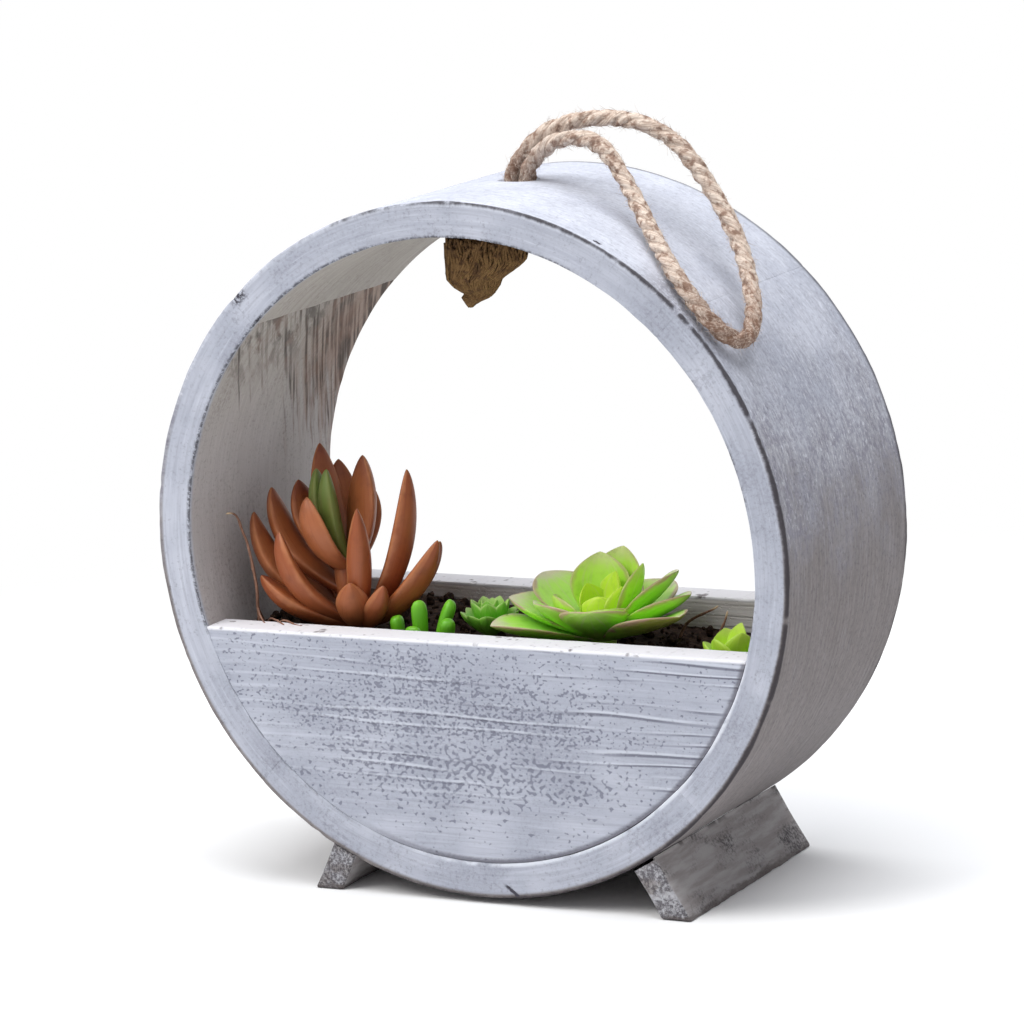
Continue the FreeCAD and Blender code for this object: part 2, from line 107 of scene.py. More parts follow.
class Value:
    """A socket of a finish. Arithmetic on it adds Math nodes, and node() adds any other node."""

    def __init__(self, tree, socket):
        self.tree = tree
        self.socket = socket

    def node(self, kind, settings, inputs, output=0):
        made = self.tree.nodes.new("ShaderNode" + kind)
        for name, value in settings.items():
            setattr(made, name, value)
        for key, value in inputs.items():
            if isinstance(value, Value):
                self.tree.links.new(value.socket, made.inputs[key])
            else:
                made.inputs[key].default_value = value
        return Value(self.tree, made.outputs[output])

    def maths(self, operation, first, second=0.0):
        return self.node("Math", {"operation": operation}, {0: first, 1: second})

    def __add__(self, other):
        return self.maths("ADD", self, other)

    def __sub__(self, other):
        return self.maths("SUBTRACT", self, other)

    def __rsub__(self, other):
        return self.maths("SUBTRACT", other, self)

    def __mul__(self, other):
        return self.maths("MULTIPLY", self, other)

    def __pow__(self, other):
        return self.maths("POWER", self, other)

    def __abs__(self):
        return self.maths("ABSOLUTE", self)

    def __or__(self, other):
        return self.maths("MAXIMUM", self, other)

    __radd__ = __add__
    __rmul__ = __mul__
    __ror__ = __or__


def new_finish(name):
    """A material with one Principled shader: the material, the object's own coordinates and the shader."""
    material = bpy.data.materials.new(name)
    material.use_nodes = True
    tree = material.node_tree
    coordinates = tree.nodes.new("ShaderNodeTexCoord")
    return material, Value(tree, coordinates.outputs["Object"]), tree.nodes["Principled BSDF"]


def parts_of(place):
    """The x, y and z of a place."""
    return [place.node("SeparateXYZ", {}, {0: place}, axis) for axis in range(3)]


def joined(x, y, z=0.0):
    """A place from its x, y and z."""
    return x.node("CombineXYZ", {}, {0: x, 1: y, 2: z})


def noise(place, size, seed=0.0, detail=3.0, roughness=0.55):
    """Smooth random value about 0.5, with lumps of one size, or of a size along each of x, y and z."""
    scale = tuple((1 / np.broadcast_to(size, 3)).tolist())
    shift = (seed * 3.1, seed * 1.7, seed * 2.3)
    spot = place.node("Mapping", {}, {"Vector": place, "Location": shift, "Scale": scale})
    inputs = {"Vector": spot, "Scale": 1.0, "Detail": detail, "Roughness": roughness}
    return place.node("TexNoise", {}, inputs)


def rise(value, low, high):
    """0 below low, 1 above high and a smooth step between them."""
    return value.node("MapRange", {"interpolation_type": "SMOOTHSTEP"}, {0: value, 1: low, 2: high})


def fall(value, low, high):
    """1 below low, 0 above high and a smooth step between them."""
    return 1 - rise(value, low, high)


def mix(share, first, second):
    """Colour from first at share 0 to second at share 1."""
    return share.node("Mix", {"data_type": "RGBA"}, {0: share, 6: first, 7: second}, 2)


def bump(height, distance):
    """Normal from a height in shares of a distance."""
    return height.node("Bump", {}, {"Height": height, "Distance": distance})


def dress(shader, **sockets):
    """Links or sets the shader's sockets, named with _ for a space."""
    for name, value in sockets.items():
        socket = shader.inputs[name.replace("_", " ")]
        if isinstance(value, Value):
            value.tree.links.new(value.socket, socket)
        else:
            socket.default_value = value


def spots(place, size, density, seed):
    """Ragged dots: the cells of a random net, each filled to a share of its width that grows with density."""
    ragged = noise(place, size * 0.5, seed, 2.0)
    scale = (1 / size,) * 3
    cell = place.node("Mapping", {}, {"Vector": place, "Location": (seed, seed, seed), "Scale": scale})
    away = place.node("TexVoronoi", {}, {"Vector": cell, "Scale": 1.0})
    draw = place.node("TexVoronoi", {}, {"Vector": cell, "Scale": 1.0}, 1)
    own = place.node("SeparateColor", {}, {0: draw})
    reach = density * (own * 0.7 + 0.3)
    return fall(away + (ragged - 0.5) * 0.9 - reach * 0.75, -0.25, 0.25)


def limewash(place, seed):
    """Limewash on old softwood, brushed along x: its colour, its brush strokes and its height."""
    stroke = noise(place, (0.024, 0.0011, 0.0008), seed, 4.0, 0.6)
    band = noise(place, (0.06, 0.006, 0.004), seed + 3)
    patch = noise(place, 0.035, seed + 5)
    grit = noise(place, 0.0015, seed + 7, 4.0, 0.7)
    colour = mix(rise(patch, 0.32, 0.68), tone(190, 193, 204), tone(168, 172, 184))
    colour = mix(rise(band, 0.42, 0.7) * 0.45, colour, tone(160, 163, 176))
    colour = mix(rise(stroke, 0.48, 0.74) * 0.35, colour, tone(142, 142, 153))
    colour = mix(rise(grit + (patch - 0.5) * 0.6, 0.50, 0.78) * 0.45, colour, tone(132, 131, 142))
    colour = mix(fall(stroke, 0.24, 0.46) * 0.3, colour, tone(214, 218, 229))
    return colour, stroke, stroke * 0.6 + grit * 0.5


def ring_finish(name, start, sawn):
    """Limewashed hoop, brushed round the ring. The outside is pale on the shoulder, partly as painted
    highlight, and rubbed thin below it, where it is also painted darker as shade. The inside is nearly bare,
    and the rims are worn dark. sawn is how far dark saw lines run down the inside."""
    material, place, shader = new_finish(name)
    x, y, z = parts_of(place)
    up = z - RING_CENTRE_Z
    radius = (x * x + up * up) ** 0.5
    from_outside = RING_RADIUS - radius
    from_inside = radius - INNER_RADIUS
    from_front = y - RING_FRONT
    middle = math.radians(start + SEGMENT_SWEEP / 2)
    ahead = x * math.cos(middle) + up * math.sin(middle)
    aside = up * math.cos(middle) - x * math.sin(middle)
    round_ring = (aside.maths("ARCTAN2", aside, ahead) + middle) * RING_RADIUS
    brushed = joined(round_ring, y, radius)

    # The coat, with clouds of fine pits.
    colour, stroke, height = limewash(brushed, 1.0)
    cloud = noise(place, 0.016, 12.0)
    stipple = noise(place, 0.0013, 9.0, 4.0, 0.7)
    pits = rise(stipple + (cloud - 0.5) * 0.5, 0.56, 0.70)
    colour = mix(pits * 0.35, colour, tone(120, 118, 129))

    # The outside: pale on the shoulder, partly as painted highlight; rubbed through to grey wood below, which
    # is also painted darker as shade; mottled and flecked between.
    outside = fall(from_outside, *FACE_BAND)
    colour = mix(outside * rise(up, *SHOULDER) * 0.30, colour, tone(222, 225, 234))
    rubbed = noise(place, 0.02, 18.0)
    thin_and_shaded = rise(fall(up, *RUBBED_AND_SHADED_BELOW) + (rubbed - 0.5) * 0.5, 0.0, 0.9)
    scuffs = noise(brushed, (0.0024, 0.0015, 1.0), 20.0, 4.0, 0.65)
    streak = noise(brushed, (0.030, 0.0016, 1.0), 26.0, 4.0, 0.6)
    grey_and_shade = mix(rise(streak * 0.6 + scuffs * 0.4, 0.30, 0.70), tone(132, 124, 121), tone(107, 100, 97))
    colour = mix(outside * thin_and_shaded * 0.9, colour, grey_and_shade)
    mottle = rise(noise(brushed, (0.0036, 0.0024, 1.0), 25.0, 4.0, 0.7), 0.46, 0.62)
    fading = thin_and_shaded * (1 - thin_and_shaded) * 4
    colour = mix(outside * mottle * fading * 0.65, colour, tone(118, 115, 128))
    fleck = noise(brushed, (0.0022, 0.0013, 1.0), 27.0, 4.0, 0.75)
    flecked = outside * (fading * 0.5 + 0.3) * (1 - thin_and_shaded)
    colour = mix(flecked * rise(fleck, 0.52, 0.64), colour, tone(128, 127, 139))
    colour = mix(flecked * fall(fleck, 0.34, 0.46), colour, tone(226, 228, 236))
    scratch = noise(brushed, (0.010, 0.0007, 1.0), 21.0, 3.0, 0.6)
    wiped = outside * rise(scratch, 0.55, 0.68) * rise(rubbed, 0.40, 0.55) * (1 - thin_and_shaded * 0.8)
    colour = mix(wiped * 0.5, colour, tone(208, 211, 223))
    colour = mix(outside * rise(cloud, 0.45, 0.65) * (1 - thin_and_shaded) * 0.3, colour, tone(168, 172, 186))
    # Painted shade where the rope lies on the shoulder by its fold, broken up by the stipple.
    from_rope = place.node("VectorMath", {"operation": "DISTANCE"}, {0: place, 1: ROPE_CONTACT_SHADE}, "Value")
    dirty = fall(from_rope, 0.006, 0.026) * rise(stipple + (rubbed - 0.5) * 0.6, 0.40, 0.62)
    colour = mix(outside * dirty * 0.6, colour, tone(116, 112, 120))
    worn = rise(stipple + (scuffs - 0.5) * 0.5, 0.54, 0.70) * (thin_and_shaded * 0.5 + 0.2)
    colour = mix(outside * worn * 0.6, colour, tone(88, 84, 91))

    # The inside: nearly bare, with rusty saw lines and stains along the wood's growth layers.
    inside = fall(from_inside, *FACE_BAND) * rise(from_front, 0.0008, 0.0030)
    inner_face_colour = mix(rise(stroke, 0.30, 0.70), tone(174, 167, 159), tone(156, 148, 140))
    inner_face_colour = mix(fall(up, 0.02, 0.07) * 0.55, inner_face_colour, tone(196, 190, 191))
    colour = mix(inside * 0.9, colour, inner_face_colour)
    specks = rise(stipple + (rubbed - 0.5) * 0.4, 0.50, 0.70)
    colour = mix(inside * specks * 0.35, colour, tone(108, 99, 94))
    layers = joined(x * math.cos(GROWTH_TILT) + y * math.sin(GROWTH_TILT), up)
    teeth = noise(layers, (0.0012, 0.05, 1.0), 24.0, 2.0, 0.6)
    ends = noise(layers, (0.0022, 0.03, 1.0), 30.0, 2.0)
    held = rise(noise(layers, (0.004, 0.022, 1.0), 31.0, 3.0), 0.30, 0.55)
    blot = rise(noise(layers, (0.005, 0.014, 1.0), 33.0, 4.0, 0.6), 0.48, 0.62)
    to_back = rise(y, -0.012, 0.036)
    depth = up - SAWN_FROM + sawn * (0.40 + y * SAWN_SLOPE) + (ends - 0.5) * 0.11
    lines = inside * rise(teeth + to_back * 0.06, 0.47, 0.62) * rise(depth, 0.0, 0.022) * held
    stain = inside * blot * rise(up, 0.048, 0.072)
    lines = (lines | stain * (1 - to_back) * 0.9) * (1 if sawn else 0)
    tint = inside * to_back * rise(depth, 0.0, 0.03) * (0.5 if sawn else 0)
    colour = mix(tint, colour, tone(150, 118, 100))
    rust = mix(rise(cloud, 0.42, 0.6), tone(66, 58, 54), tone(106, 82, 72))
    colour = mix(lines * 0.85, colour, rust)
    # Darker towards the soil, in clouds.
    darker_towards_soil = inside * fall(up, -0.045, 0.005) * rise(cloud, 0.35, 0.6)
    colour = mix(darker_towards_soil * 0.15, colour, tone(112, 104, 102))

    # The rims: broken dark lines along the edges, and a painted highlight on the bevel beside the front
    # board.
    ragged = noise(place, 0.013, 14.0, 5.0, 0.65)
    rim = from_outside + from_front + (ragged - 0.5) * 0.0010 + (scuffs - 0.5) * 0.0014
    rim = rim - rise(x, 0.045, 0.10) * 0.0003
    outer_line = fall(rim, 0.0007, 0.0019) * rise(ragged + x * 2.8, 0.36, 0.54)
    to_edge = from_inside + from_front
    edge = fall(to_edge, 0.0006, 0.0016)
    above_board = rise(up, *BOARD_EDGE)
    inner_line = edge * above_board * rise(ragged - x * 1.6, 0.34, 0.50) * rise(stipple, 0.36, 0.56)
    back_line = fall(from_outside + RING_BACK - y, 0.0010, 0.0036) * rise(ragged + up * 2.0, 0.34, 0.5)
    line = outer_line | inner_line * 0.85 | back_line * 0.85
    colour = mix(line * 0.92, colour, tone(56, 52, 56))
    # Painted highlight where the ring's inner edge stands proud of the board, at the bottom and the right.
    bevel_highlight = fall(to_edge, 0.0008, 0.0020) * (1 - above_board) * rise(x + ragged * 0.05, -0.025, 0.03)
    colour = mix(bevel_highlight * rise(ragged, 0.36, 0.52) * 0.75, colour, tone(226, 229, 237))

    # The flaws: a nick on the shoulder, a split at the bottom and pits along one seam.
    nick_place = place.node(
        "Mapping", {}, {"Vector": place, "Location": -NICK * NICK_SHAPE, "Scale": NICK_SHAPE})
    beside = place.node("VectorMath", {"operation": "LENGTH"}, {0: nick_place}, "Value")
    nick = fall(beside + (stipple - 0.5) * 0.004, 0.0008, 0.0019)
    (x0, z0), (x1, z1) = SPLIT
    length = math.hypot(x1 - x0, z1 - z0)
    run = ((x - x0) * (x1 - x0) + (z - z0) * (z1 - z0)) * (1 / length)
    off = ((x - x0) * (z1 - z0) - (z - z0) * (x1 - x0)) * (1 / length)
    within = rise(run, -0.0004, 0.0012) * fall(run, length - 0.0012, length + 0.0004)
    split = fall(abs(off + (stipple - 0.5) * 0.0016), 0.0003, 0.0008) * within
    split = split * fall(from_front, 0.002, 0.004)
    from_seam = round_ring - PITTED_SEAM * RING_RADIUS
    by_seam = fall(abs(from_seam + (cloud - 0.5) * 0.012), 0.0010, 0.0055)
    by_edge = fall(from_outside, 0.0020, 0.0050) | edge
    pitted = by_seam * by_edge * rise(stipple, 0.46, 0.58) * fall(from_front, 0.0010, 0.0020)
    flaw = nick | split | pitted
    colour = mix(flaw, colour, tone(72, 69, 78))
    relief = height + stipple * 0.4 - line * 0.5 - lines * 0.9 - pits * 0.3 - flaw * 2.0
    dress(shader, Base_Color=colour, Roughness=0.8, Specular_IOR_Level=0.2, Normal=bump(relief, WOOD_RELIEF))
    return material


def unit(vectors):
    """Vectors divided by their own lengths."""
    return vectors / np.maximum(np.linalg.norm(vectors, axis=-1, keepdims=True), 1e-12)


def lumps(points, size, seed):
    """Smooth random value from -1 to 1 at each point: one draw at each corner of a grid of cells of that
    size, which may differ along x, y and z, blended across the cell by a smooth step each way."""
    cell = np.asarray(points) / size
    base = np.floor(cell).astype(np.int64)
    share = cell - base
    share = share * share * (3 - 2 * share)
    draws = np.random.default_rng(seed).uniform(-1, 1, 4093)
    total = np.zeros(cell.shape[:-1])
    for corner in np.ndindex(2, 2, 2):
        at = base + corner
        key = at[..., 0] * 73856093 + at[..., 1] * 19349663 + at[..., 2] * 83492791
        total += np.where(corner, share, 1 - share).prod(-1) * draws[key % len(draws)]
    return total


def put_up(name, data):
    """New object of the scene, with its mesh, light or lens."""
    made = bpy.data.objects.new(name, data)
    bpy.context.scene.collection.objects.link(made)
    return made


def skins(name, rings, finish, **marks):
    """One mesh of closed skins. rings holds shapes x stations x points around x 3: each ring is joined to the
    next by four-sided faces, and a flat cap closes the first and the last. marks are values at the points."""
    shapes, stations, around = rings.shape[:3]
    index = np.arange(shapes * stations * around).reshape(shapes, stations, around)
    ahead = np.roll(index, -1, axis=2)
    quads = np.stack([index[:, :-1], ahead[:, :-1], ahead[:, 1:], index[:, 1:]], axis=-1)
    points = rings.reshape(-1, 3)
    corners = points[quads] - rings.mean(axis=(1, 2))[:, None, None, None]
    volume = (corners[..., 0, :] * np.cross(corners[..., 1, :], corners[..., 2, :])).sum(axis=(1, 2, 3))
    inward = volume < 0
    quads[inward] = quads[inward, ..., ::-1]
    first, last = index[:, 0, ::-1].copy(), index[:, -1].copy()
    first[inward], last[inward] = first[inward, ::-1], last[inward, ::-1]
    mesh = bpy.data.meshes.new(name)
    mesh.from_pydata(points, [], quads.reshape(-1, 4).tolist() + first.tolist() + last.tolist())
    smooth = np.arange(len(mesh.polygons)) < quads[..., 0].size
    mesh.polygons.foreach_set("use_smooth", smooth)
    for mark, values in marks.items():
        attribute = mesh.attributes.new(mark, "FLOAT", "POINT")
        at_points = np.broadcast_to(values, rings.shape[:3]).astype(np.float32)
        attribute.data.foreach_set("value", at_points.ravel())
    mesh.materials.append(finish)
    mesh.update()
    return put_up(name, mesh)


def bow(share, first, middle, last):
    """Quadratic curve from first to last, drawn towards middle, at a share of the way."""
    return (1 - share) ** 2 * first + 2 * share * (1 - share) * middle + share ** 2 * last


def worn_outlines(corners, wear, corner_steps, side_steps):
    """Closed outlines with worn corners. corners is stations x 4 x 3 and wear is stations x 4, the length
    lost at each corner, where a quadratic curve goes from one side to the next. Each side has its own number
    of steps."""
    ahead = corners + unit(np.roll(corners, -1, axis=1) - corners) * wear[..., None]
    back = corners + unit(np.roll(corners, 1, axis=1) - corners) * wear[..., None]
    turn = np.linspace(0, 1, corner_steps)[:, None]
    stretches = []
    for corner, steps in enumerate(side_steps):
        first, top, last = (points[:, corner, None] for points in (back, corners, ahead))
        stretches.append(bow(turn, first, top, last))
        side = np.linspace(0, 1, steps + 1)[1:-1, None]
        stretches.append((1 - side) * last + side * back[:, (corner + 1) % 4, None])
    return np.concatenate(stretches, axis=1)


def weathered(rings, depth, size, seed):
    """Sinks each point of a skin below its surface by up to a depth, by lumps of a size."""
    around = np.roll(rings, -1, axis=1) - np.roll(rings, 1, axis=1)
    normal = unit(np.cross(np.gradient(rings, axis=0), around))
    outward = np.sign(np.einsum("ijk,ijk->ij", normal, rings - rings.mean(axis=1, keepdims=True)))
    sink = depth * (lumps(rings, size, seed) - 1) / 2
    return rings + normal * (outward * sink)[..., None]


def on_ring(angle, radius, y):
    """Points about the ring's axis: across by the cosine of the angle and up by its sine."""
    return np.stack([radius * np.cos(angle), y + 0 * angle, RING_CENTRE_Z + radius * np.sin(angle)], axis=-1)


def ring_segment(name, start, finish):
    """Quarter of the hoop: worn outlines at steps of the angle, which close up at its two seams, with deeper
    wear at the chips of the front rim and hardly any where limewash fills the joint with the board."""
    ease = np.array(SEAM_STEPS)
    even = np.linspace(1, SEGMENT_SWEEP - 1, SEGMENT_STEPS)
    turns = np.concatenate([ease, even, SEGMENT_SWEEP - ease[::-1]])
    gap = math.degrees(SEAM_GAP / RING_RADIUS)
    degrees = start + gap + turns * (1 - 2 * gap / SEGMENT_SWEEP)
    angle = np.radians(degrees)
    from_seam = np.minimum(turns, SEGMENT_SWEEP - turns)
    shrink = SEAM_EASE * (1 - np.minimum(from_seam / SEAM_EASE_DEGREES, 1)) ** 2
    outer = RING_RADIUS - shrink
    inner = INNER_RADIUS + shrink
    front = RING_FRONT + shrink
    back = RING_BACK - shrink
    corners = np.stack([on_ring(angle, outer, front), on_ring(angle, outer, back),
                        on_ring(angle, inner, back), on_ring(angle, inner, front)], axis=1)
    wear = np.array(RIM_WEAR) * (1 + 0.45 * lumps(corners, 0.012, 20) + 0.3 * lumps(corners, 0.003, 21))
    rough = 1 + 0.5 * lumps(corners[:, 0], 0.0015, 22)
    for place, share in RIM_CHIPS:
        off = (degrees - place + 180) % 360 - 180
        wear[:, 0] += CHIP_DEPTH * share * rough * np.exp(-(off / CHIP_SPREAD) ** 2)
    wear[:, 3] *= 1 - 0.9 * np.exp(-((degrees % 360 - FILLED_JOINT[0]) / FILLED_JOINT[1]) ** 4)
    rings = worn_outlines(corners, wear, *RING_STEPS)
    return skins(name + "_wood", weathered(rings, RING_WEATHER, 0.009, 23)[None], finish)


def full_turn(count):
    """Even angles round a circle."""
    return np.linspace(0, 2 * np.pi, count, endpoint=False)


def round_bar(name, start, end, radius, finish, sides=64):
    """Straight bar: circles of a radius at its two ends, square to the line between them."""
    start, end = np.array(start), np.array(end)
    along = unit(end - start)
    across = unit(np.cross(along, (0.3, -0.7, 0.65)))
    turn = full_turn(sides)[:, None]
    circle = radius * (np.cos(turn) * across + np.sin(turn) * np.cross(along, across))
    return skins(name, np.stack([start + circle, end + circle])[None], finish)


def shape_of(node, finish):
    """Closed copy of a CAD node's shape, with its loose triangles joined, to drill its hole with."""
    mesh = bpy.data.objects[node].data.copy()
    form = bmesh.new()
    form.from_mesh(mesh)
    bmesh.ops.remove_doubles(form, verts=form.verts, dist=1e-6)
    form.to_mesh(mesh)
    form.free()
    mesh.materials.clear()
    mesh.materials.append(finish)
    return put_up(node + "_hole", mesh)


def drill(piece, cutters):
    """Takes the cutters' closed shapes out of the piece, and removes the cutters."""
    for cutter in cutters:
        hole = piece.modifiers.new("hole", "BOOLEAN")
        hole.operation = "DIFFERENCE"
        hole.solver = "MANIFOLD"
        hole.object = cutter
    drilled = piece.evaluated_get(bpy.context.evaluated_depsgraph_get())
    solid = piece.data
    piece.data = bpy.data.meshes.new_from_object(drilled)
    piece.modifiers.clear()
    bpy.data.meshes.remove(solid)
    for cutter in cutters:
        bpy.data.objects.remove(cutter)


SAWN = {"ring_left": 0.1}
for segment, start in SEGMENT_STARTS.items():
    ring_coat = ring_finish("limewashed_" + segment, start, SAWN.get(segment, 0))
    wood = ring_segment(segment, start, ring_coat)
    cutters = [shape_of("seam_dowels", ring_coat)]
    if segment == "ring_top":
        low_end = (0, ROPE_HOLE_Y, RING_CENTRE_Z + INNER_RADIUS - RING_WALL)
        high_end = (0, ROPE_HOLE_Y, RING_HIGH.z + RING_RADIUS)
        cutters.append(round_bar("rope_hole", low_end, high_end, ROPE_HOLE_RADIUS, ring_coat))
    else:
        cutters.append(shape_of("board_pins", ring_coat))
    if segment == "ring_bottom":
        cutters.append(shape_of("foot_screws", ring_coat))
    drill(wood, cutters)
    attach(wood, "planter")
    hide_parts(segment)

# Boards: two circular segments of sawn softwood let into the ring at the front and the back, flat at the
# top, and pinned through the ring. The saw has left fine level ridges. The limewash stands on them, and the
# pores between them show as grey dots.
BOARD_FIT = 0.00003
BOARD_RADIUS = INNER_RADIUS - BOARD_FIT
BOARD_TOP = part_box("front_board")[1].z
BOARD_WEAR = 0.0006
BOARD_CHIP = 0.0030
BOARD_STEPS = (330, 120, 12, 40, 12)
FRONT_FACE = (0.0372, 0.0384)
BACK_FACE = (0.0505, 0.0515)
TOP_BAND = (0.0016, 0.0006)
DOT_CENTRE = (-0.008, 0.060)
DOT_FLATNESS = 0.20
DOT_REACH = (0.008, 0.042)
SAW_SPACING = 0.0042
SAW_RIDGE = 0.00022
PORE_DEPTH = 0.00022
FACE_SINK = 0.00012
FACE_SKIN = 0.0003
SETBACK = 0.0008
JOINT_FILLET = 0.0025


def board_finish(name, seed):
    """Limewashed board: pale saw ridges with dark broken lines under them, painted as their shadow, grey dots
    that crowd about the middle, a dark joint at the right, widened by painted shade, a white top edge with
    chips, partly a painted highlight, and an inner face painted near white to stand in for light in the
    shaded trough."""
    material, place, shader = new_finish(name)
    x, y, z = parts_of(place)
    colour, stroke, height = limewash(place, seed)
    middle = noise(place, (0.05, 0.05, 0.022), seed + 11, 2.0)
    across = x - DOT_CENTRE[0]
    down = z - DOT_CENTRE[1]
    heart = fall((across * across * DOT_FLATNESS + down * down) ** 0.5, *DOT_REACH)
    level = noise(place, (0.10, 1.0, 0.0050), seed + 13, 2.0)
    density = rise(middle * 0.65 + heart * 0.62 + rise(level, 0.4, 0.62) * 0.25, 0.28, 0.96)
    density = density * rise(z, 0.016, 0.046) * (fall(x, 0.040, 0.085) * 0.7 + 0.3)
    dab = noise(place, (0.0012, 1.0, 0.0009), seed + 15, 2.0, 0.6)
    flat = joined(x, z)
    upper = rise(z, 0.048, 0.066)
    fine = noise(flat, (0.00115, 0.0010, 1.0), seed + 15, 0.0)
    coarse = noise(flat, (0.0017, 0.0015, 1.0), seed + 21, 0.0)
    speck = fine * upper + coarse * (1 - upper)
    dots = rise(speck + (density - 1) * 0.20, 0.50, 0.64)
    dots = dots | rise(dab, 0.54, 0.72) * density * 0.4
    colour = mix(density * 0.18 + 0.10, colour, tone(150, 154, 168))
    colour = mix(rise(z, 0.050, 0.085) * 0.35, colour, tone(168, 172, 185))
    colour = mix(dots * 0.70, colour, tone(106, 108, 123))
    wander = noise(place, (0.14, 1.0, 0.016), seed + 17, 2.0)
    phase = z * (1 / SAW_SPACING) + wander * 2.4 + x * 1.5
    tooth = phase.maths("FRACT", phase)
    kept = rise(noise(place, (0.07, 1.0, 0.008), seed + 19, 3.0), 0.38, 0.58) * rise(z, 0.030, 0.050)
    kept = kept * (rise(x, -0.090, -0.020) * 0.5 + 0.5)
    ridge = fall(abs(tooth - 0.5), 0.04, 0.17) * kept
    # Painted shadow: broken dark lines just under the saw ridges.
    ridge_shadow = fall(abs(tooth - 0.30), 0.03, 0.15) * kept * rise(dab + x * 1.8, 0.32, 0.54)
    colour = mix(ridge * 0.55, colour, tone(214, 218, 228))
    colour = mix(ridge_shadow * 0.85, colour, tone(100, 101, 114))
    up = z - RING_CENTRE_Z
    to_ring = INNER_RADIUS - (x * x + up * up) ** 0.5
    open_joint = rise(x + middle * 0.07, -0.02, 0.035)
    # Dark joint at the right and the bottom, widened by painted shade in the groove where the board sits back
    # from the ring.
    joint_and_shade = fall(to_ring + (dab - 0.5) * 0.0010, 0.0006, 0.0022) * open_joint
    colour = mix(joint_and_shade * 0.75, colour, tone(96, 93, 101))

    chipped = spots(place, 0.0035, rise(noise(place, 0.02, seed + 23), 0.52, 0.66), seed + 4)
    top = rise(z, BOARD_TOP - TOP_BAND[0], BOARD_TOP - TOP_BAND[1])
    # White top edge: partly limewash and partly painted highlight, bright enough that the back board's top,
    # shaded by the ring, still looks white.
    colour = mix(top * 0.88, colour, tone(244, 243, 247))
    colour = mix(top * chipped * 0.8, colour, tone(92, 82, 82))
    outer_face = rise(y * -1.0, *FRONT_FACE) | rise(y, *BACK_FACE)
    # Painted light: the inner face is made near white so that the back board's inner face, shaded in the deep
    # trough, looks lit.
    inner_face_colour = mix(rise(stroke, 0.35, 0.65), tone(240, 236, 234), tone(220, 214, 210))
    colour = mix((1 - outer_face) * (1 - top) * 0.9, colour, inner_face_colour)
    relief = height + ridge * 0.35 - ridge_shadow * 0.5 - dots * 0.6 - joint_and_shade * 0.8
    dress(shader, Base_Color=colour, Roughness=0.8, Specular_IOR_Level=0.2, Normal=bump(relief, WOOD_RELIEF))
    return material


def trough_outlines(half, front, back, top, radius, wear, steps):
    """Worn outlines across a piece that lies in the hoop, at steps along x that close up towards the ends, as
    the sine of an even angle. Its bottom follows a circle about the ring's axis, and its top is a height for
    each x. steps counts those along x and those of the four sides."""
    x = half * np.sin(np.linspace(-0.495, 0.495, steps[0]) * np.pi)
    bottom = RING_CENTRE_Z - np.sqrt(radius ** 2 - x ** 2)
    high = np.maximum(top(x), bottom + 1e-5)
    corners = np.stack([np.stack([x, y + 0 * x, z], axis=-1) for y, z in
                        ((front, bottom), (front, high), (back, high), (back, bottom))], axis=1)
    lost = wear(corners)
    room = 0.4 * np.minimum(high - bottom, back - front)
    return worn_outlines(corners, np.minimum(lost, room[:, None]), 6, steps[1:])


def board_wear(corners):
    """Little wear, least at the left where limewash fills the joint, and chips along the top where a coarse
    and a fine random value are both high."""
    chips = np.maximum(lumps(corners, 0.011, 61) - 0.25, 0) * (1 + 0.6 * lumps(corners, 0.0017, 62))
    top = corners[..., 2] > BOARD_TOP - 0.001
    filled = 0.02 + 0.40 * np.clip((corners[..., 0] + 0.05) / 0.08, 0, 1)
    wear = BOARD_WEAR * np.where(top, 1, filled) * (1 + 0.5 * lumps(corners, 0.004, 63))
    return wear + BOARD_CHIP * chips * top


def board(node, seed):
    """Board between a node's faces, with saw ridges raised and pores sunk on its outer face, which comes
    forward to the ring in a small fillet at the left."""
    low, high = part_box(node)
    outer = low[1] if low[1] < 0 else high[1]
    half = math.sqrt(BOARD_RADIUS ** 2 - (RING_CENTRE_Z - BOARD_TOP) ** 2)
    rings = trough_outlines(half, low[1], high[1], lambda x: BOARD_TOP + 0 * x, BOARD_RADIUS, board_wear,
                            BOARD_STEPS)
    face = np.exp(-((rings[..., 1] - outer) / FACE_SKIN) ** 2)
    ridge = np.maximum(lumps(rings, (0.055, 1.0, 0.0021), seed) - 0.3, 0) * SAW_RIDGE
    pore = np.maximum(lumps(rings, (0.0024, 1.0, 0.0018), seed + 1) - 0.35, 0) * PORE_DEPTH
    to_ring = BOARD_RADIUS - np.hypot(rings[..., 0], rings[..., 2] - RING_CENTRE_Z)
    fillet = SETBACK * np.exp(-to_ring / JOINT_FILLET) * np.clip((-rings[..., 0] - 0.01) / 0.03, 0, 1)
    rings[..., 1] += math.copysign(1, outer) * face * (ridge - pore - FACE_SINK + fillet)
    piece = skins(node + "_wood", rings[None], board_finish("limewashed_" + node, seed))
    drill(piece, [shape_of("board_pins", piece.data.materials[0])])
    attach(piece, "planter")
    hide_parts(node)


board("front_board", 3)
board("back_board", 7)

# Feet: two splayed blocks of the same wood, hollowed on top to the ring's curve and glued and screwed to it.
# The limewash is thin here. Dirt has caught on the end grain and along the lower edges.
FOOT_THICKNESS = 0.010
FOOT_GLUE_GAP = 0.00002
FOOT_SEAT = 0.0008
FOOT_ANGLES = {"left_foot": 270 - 26.5, "right_foot": 270 + 31.0}
FOOT_WEAR = 0.0008
FOOT_STEPS = (6, (14, 12, 14, 12))
FOOT_WEATHER = 0.0003
FOOT_END = 0.0012
FOOT_END_STEPS = (0, 0.0003, 0.0007)
FOOT_ENDS_FROM = (0.0502, 0.0512)


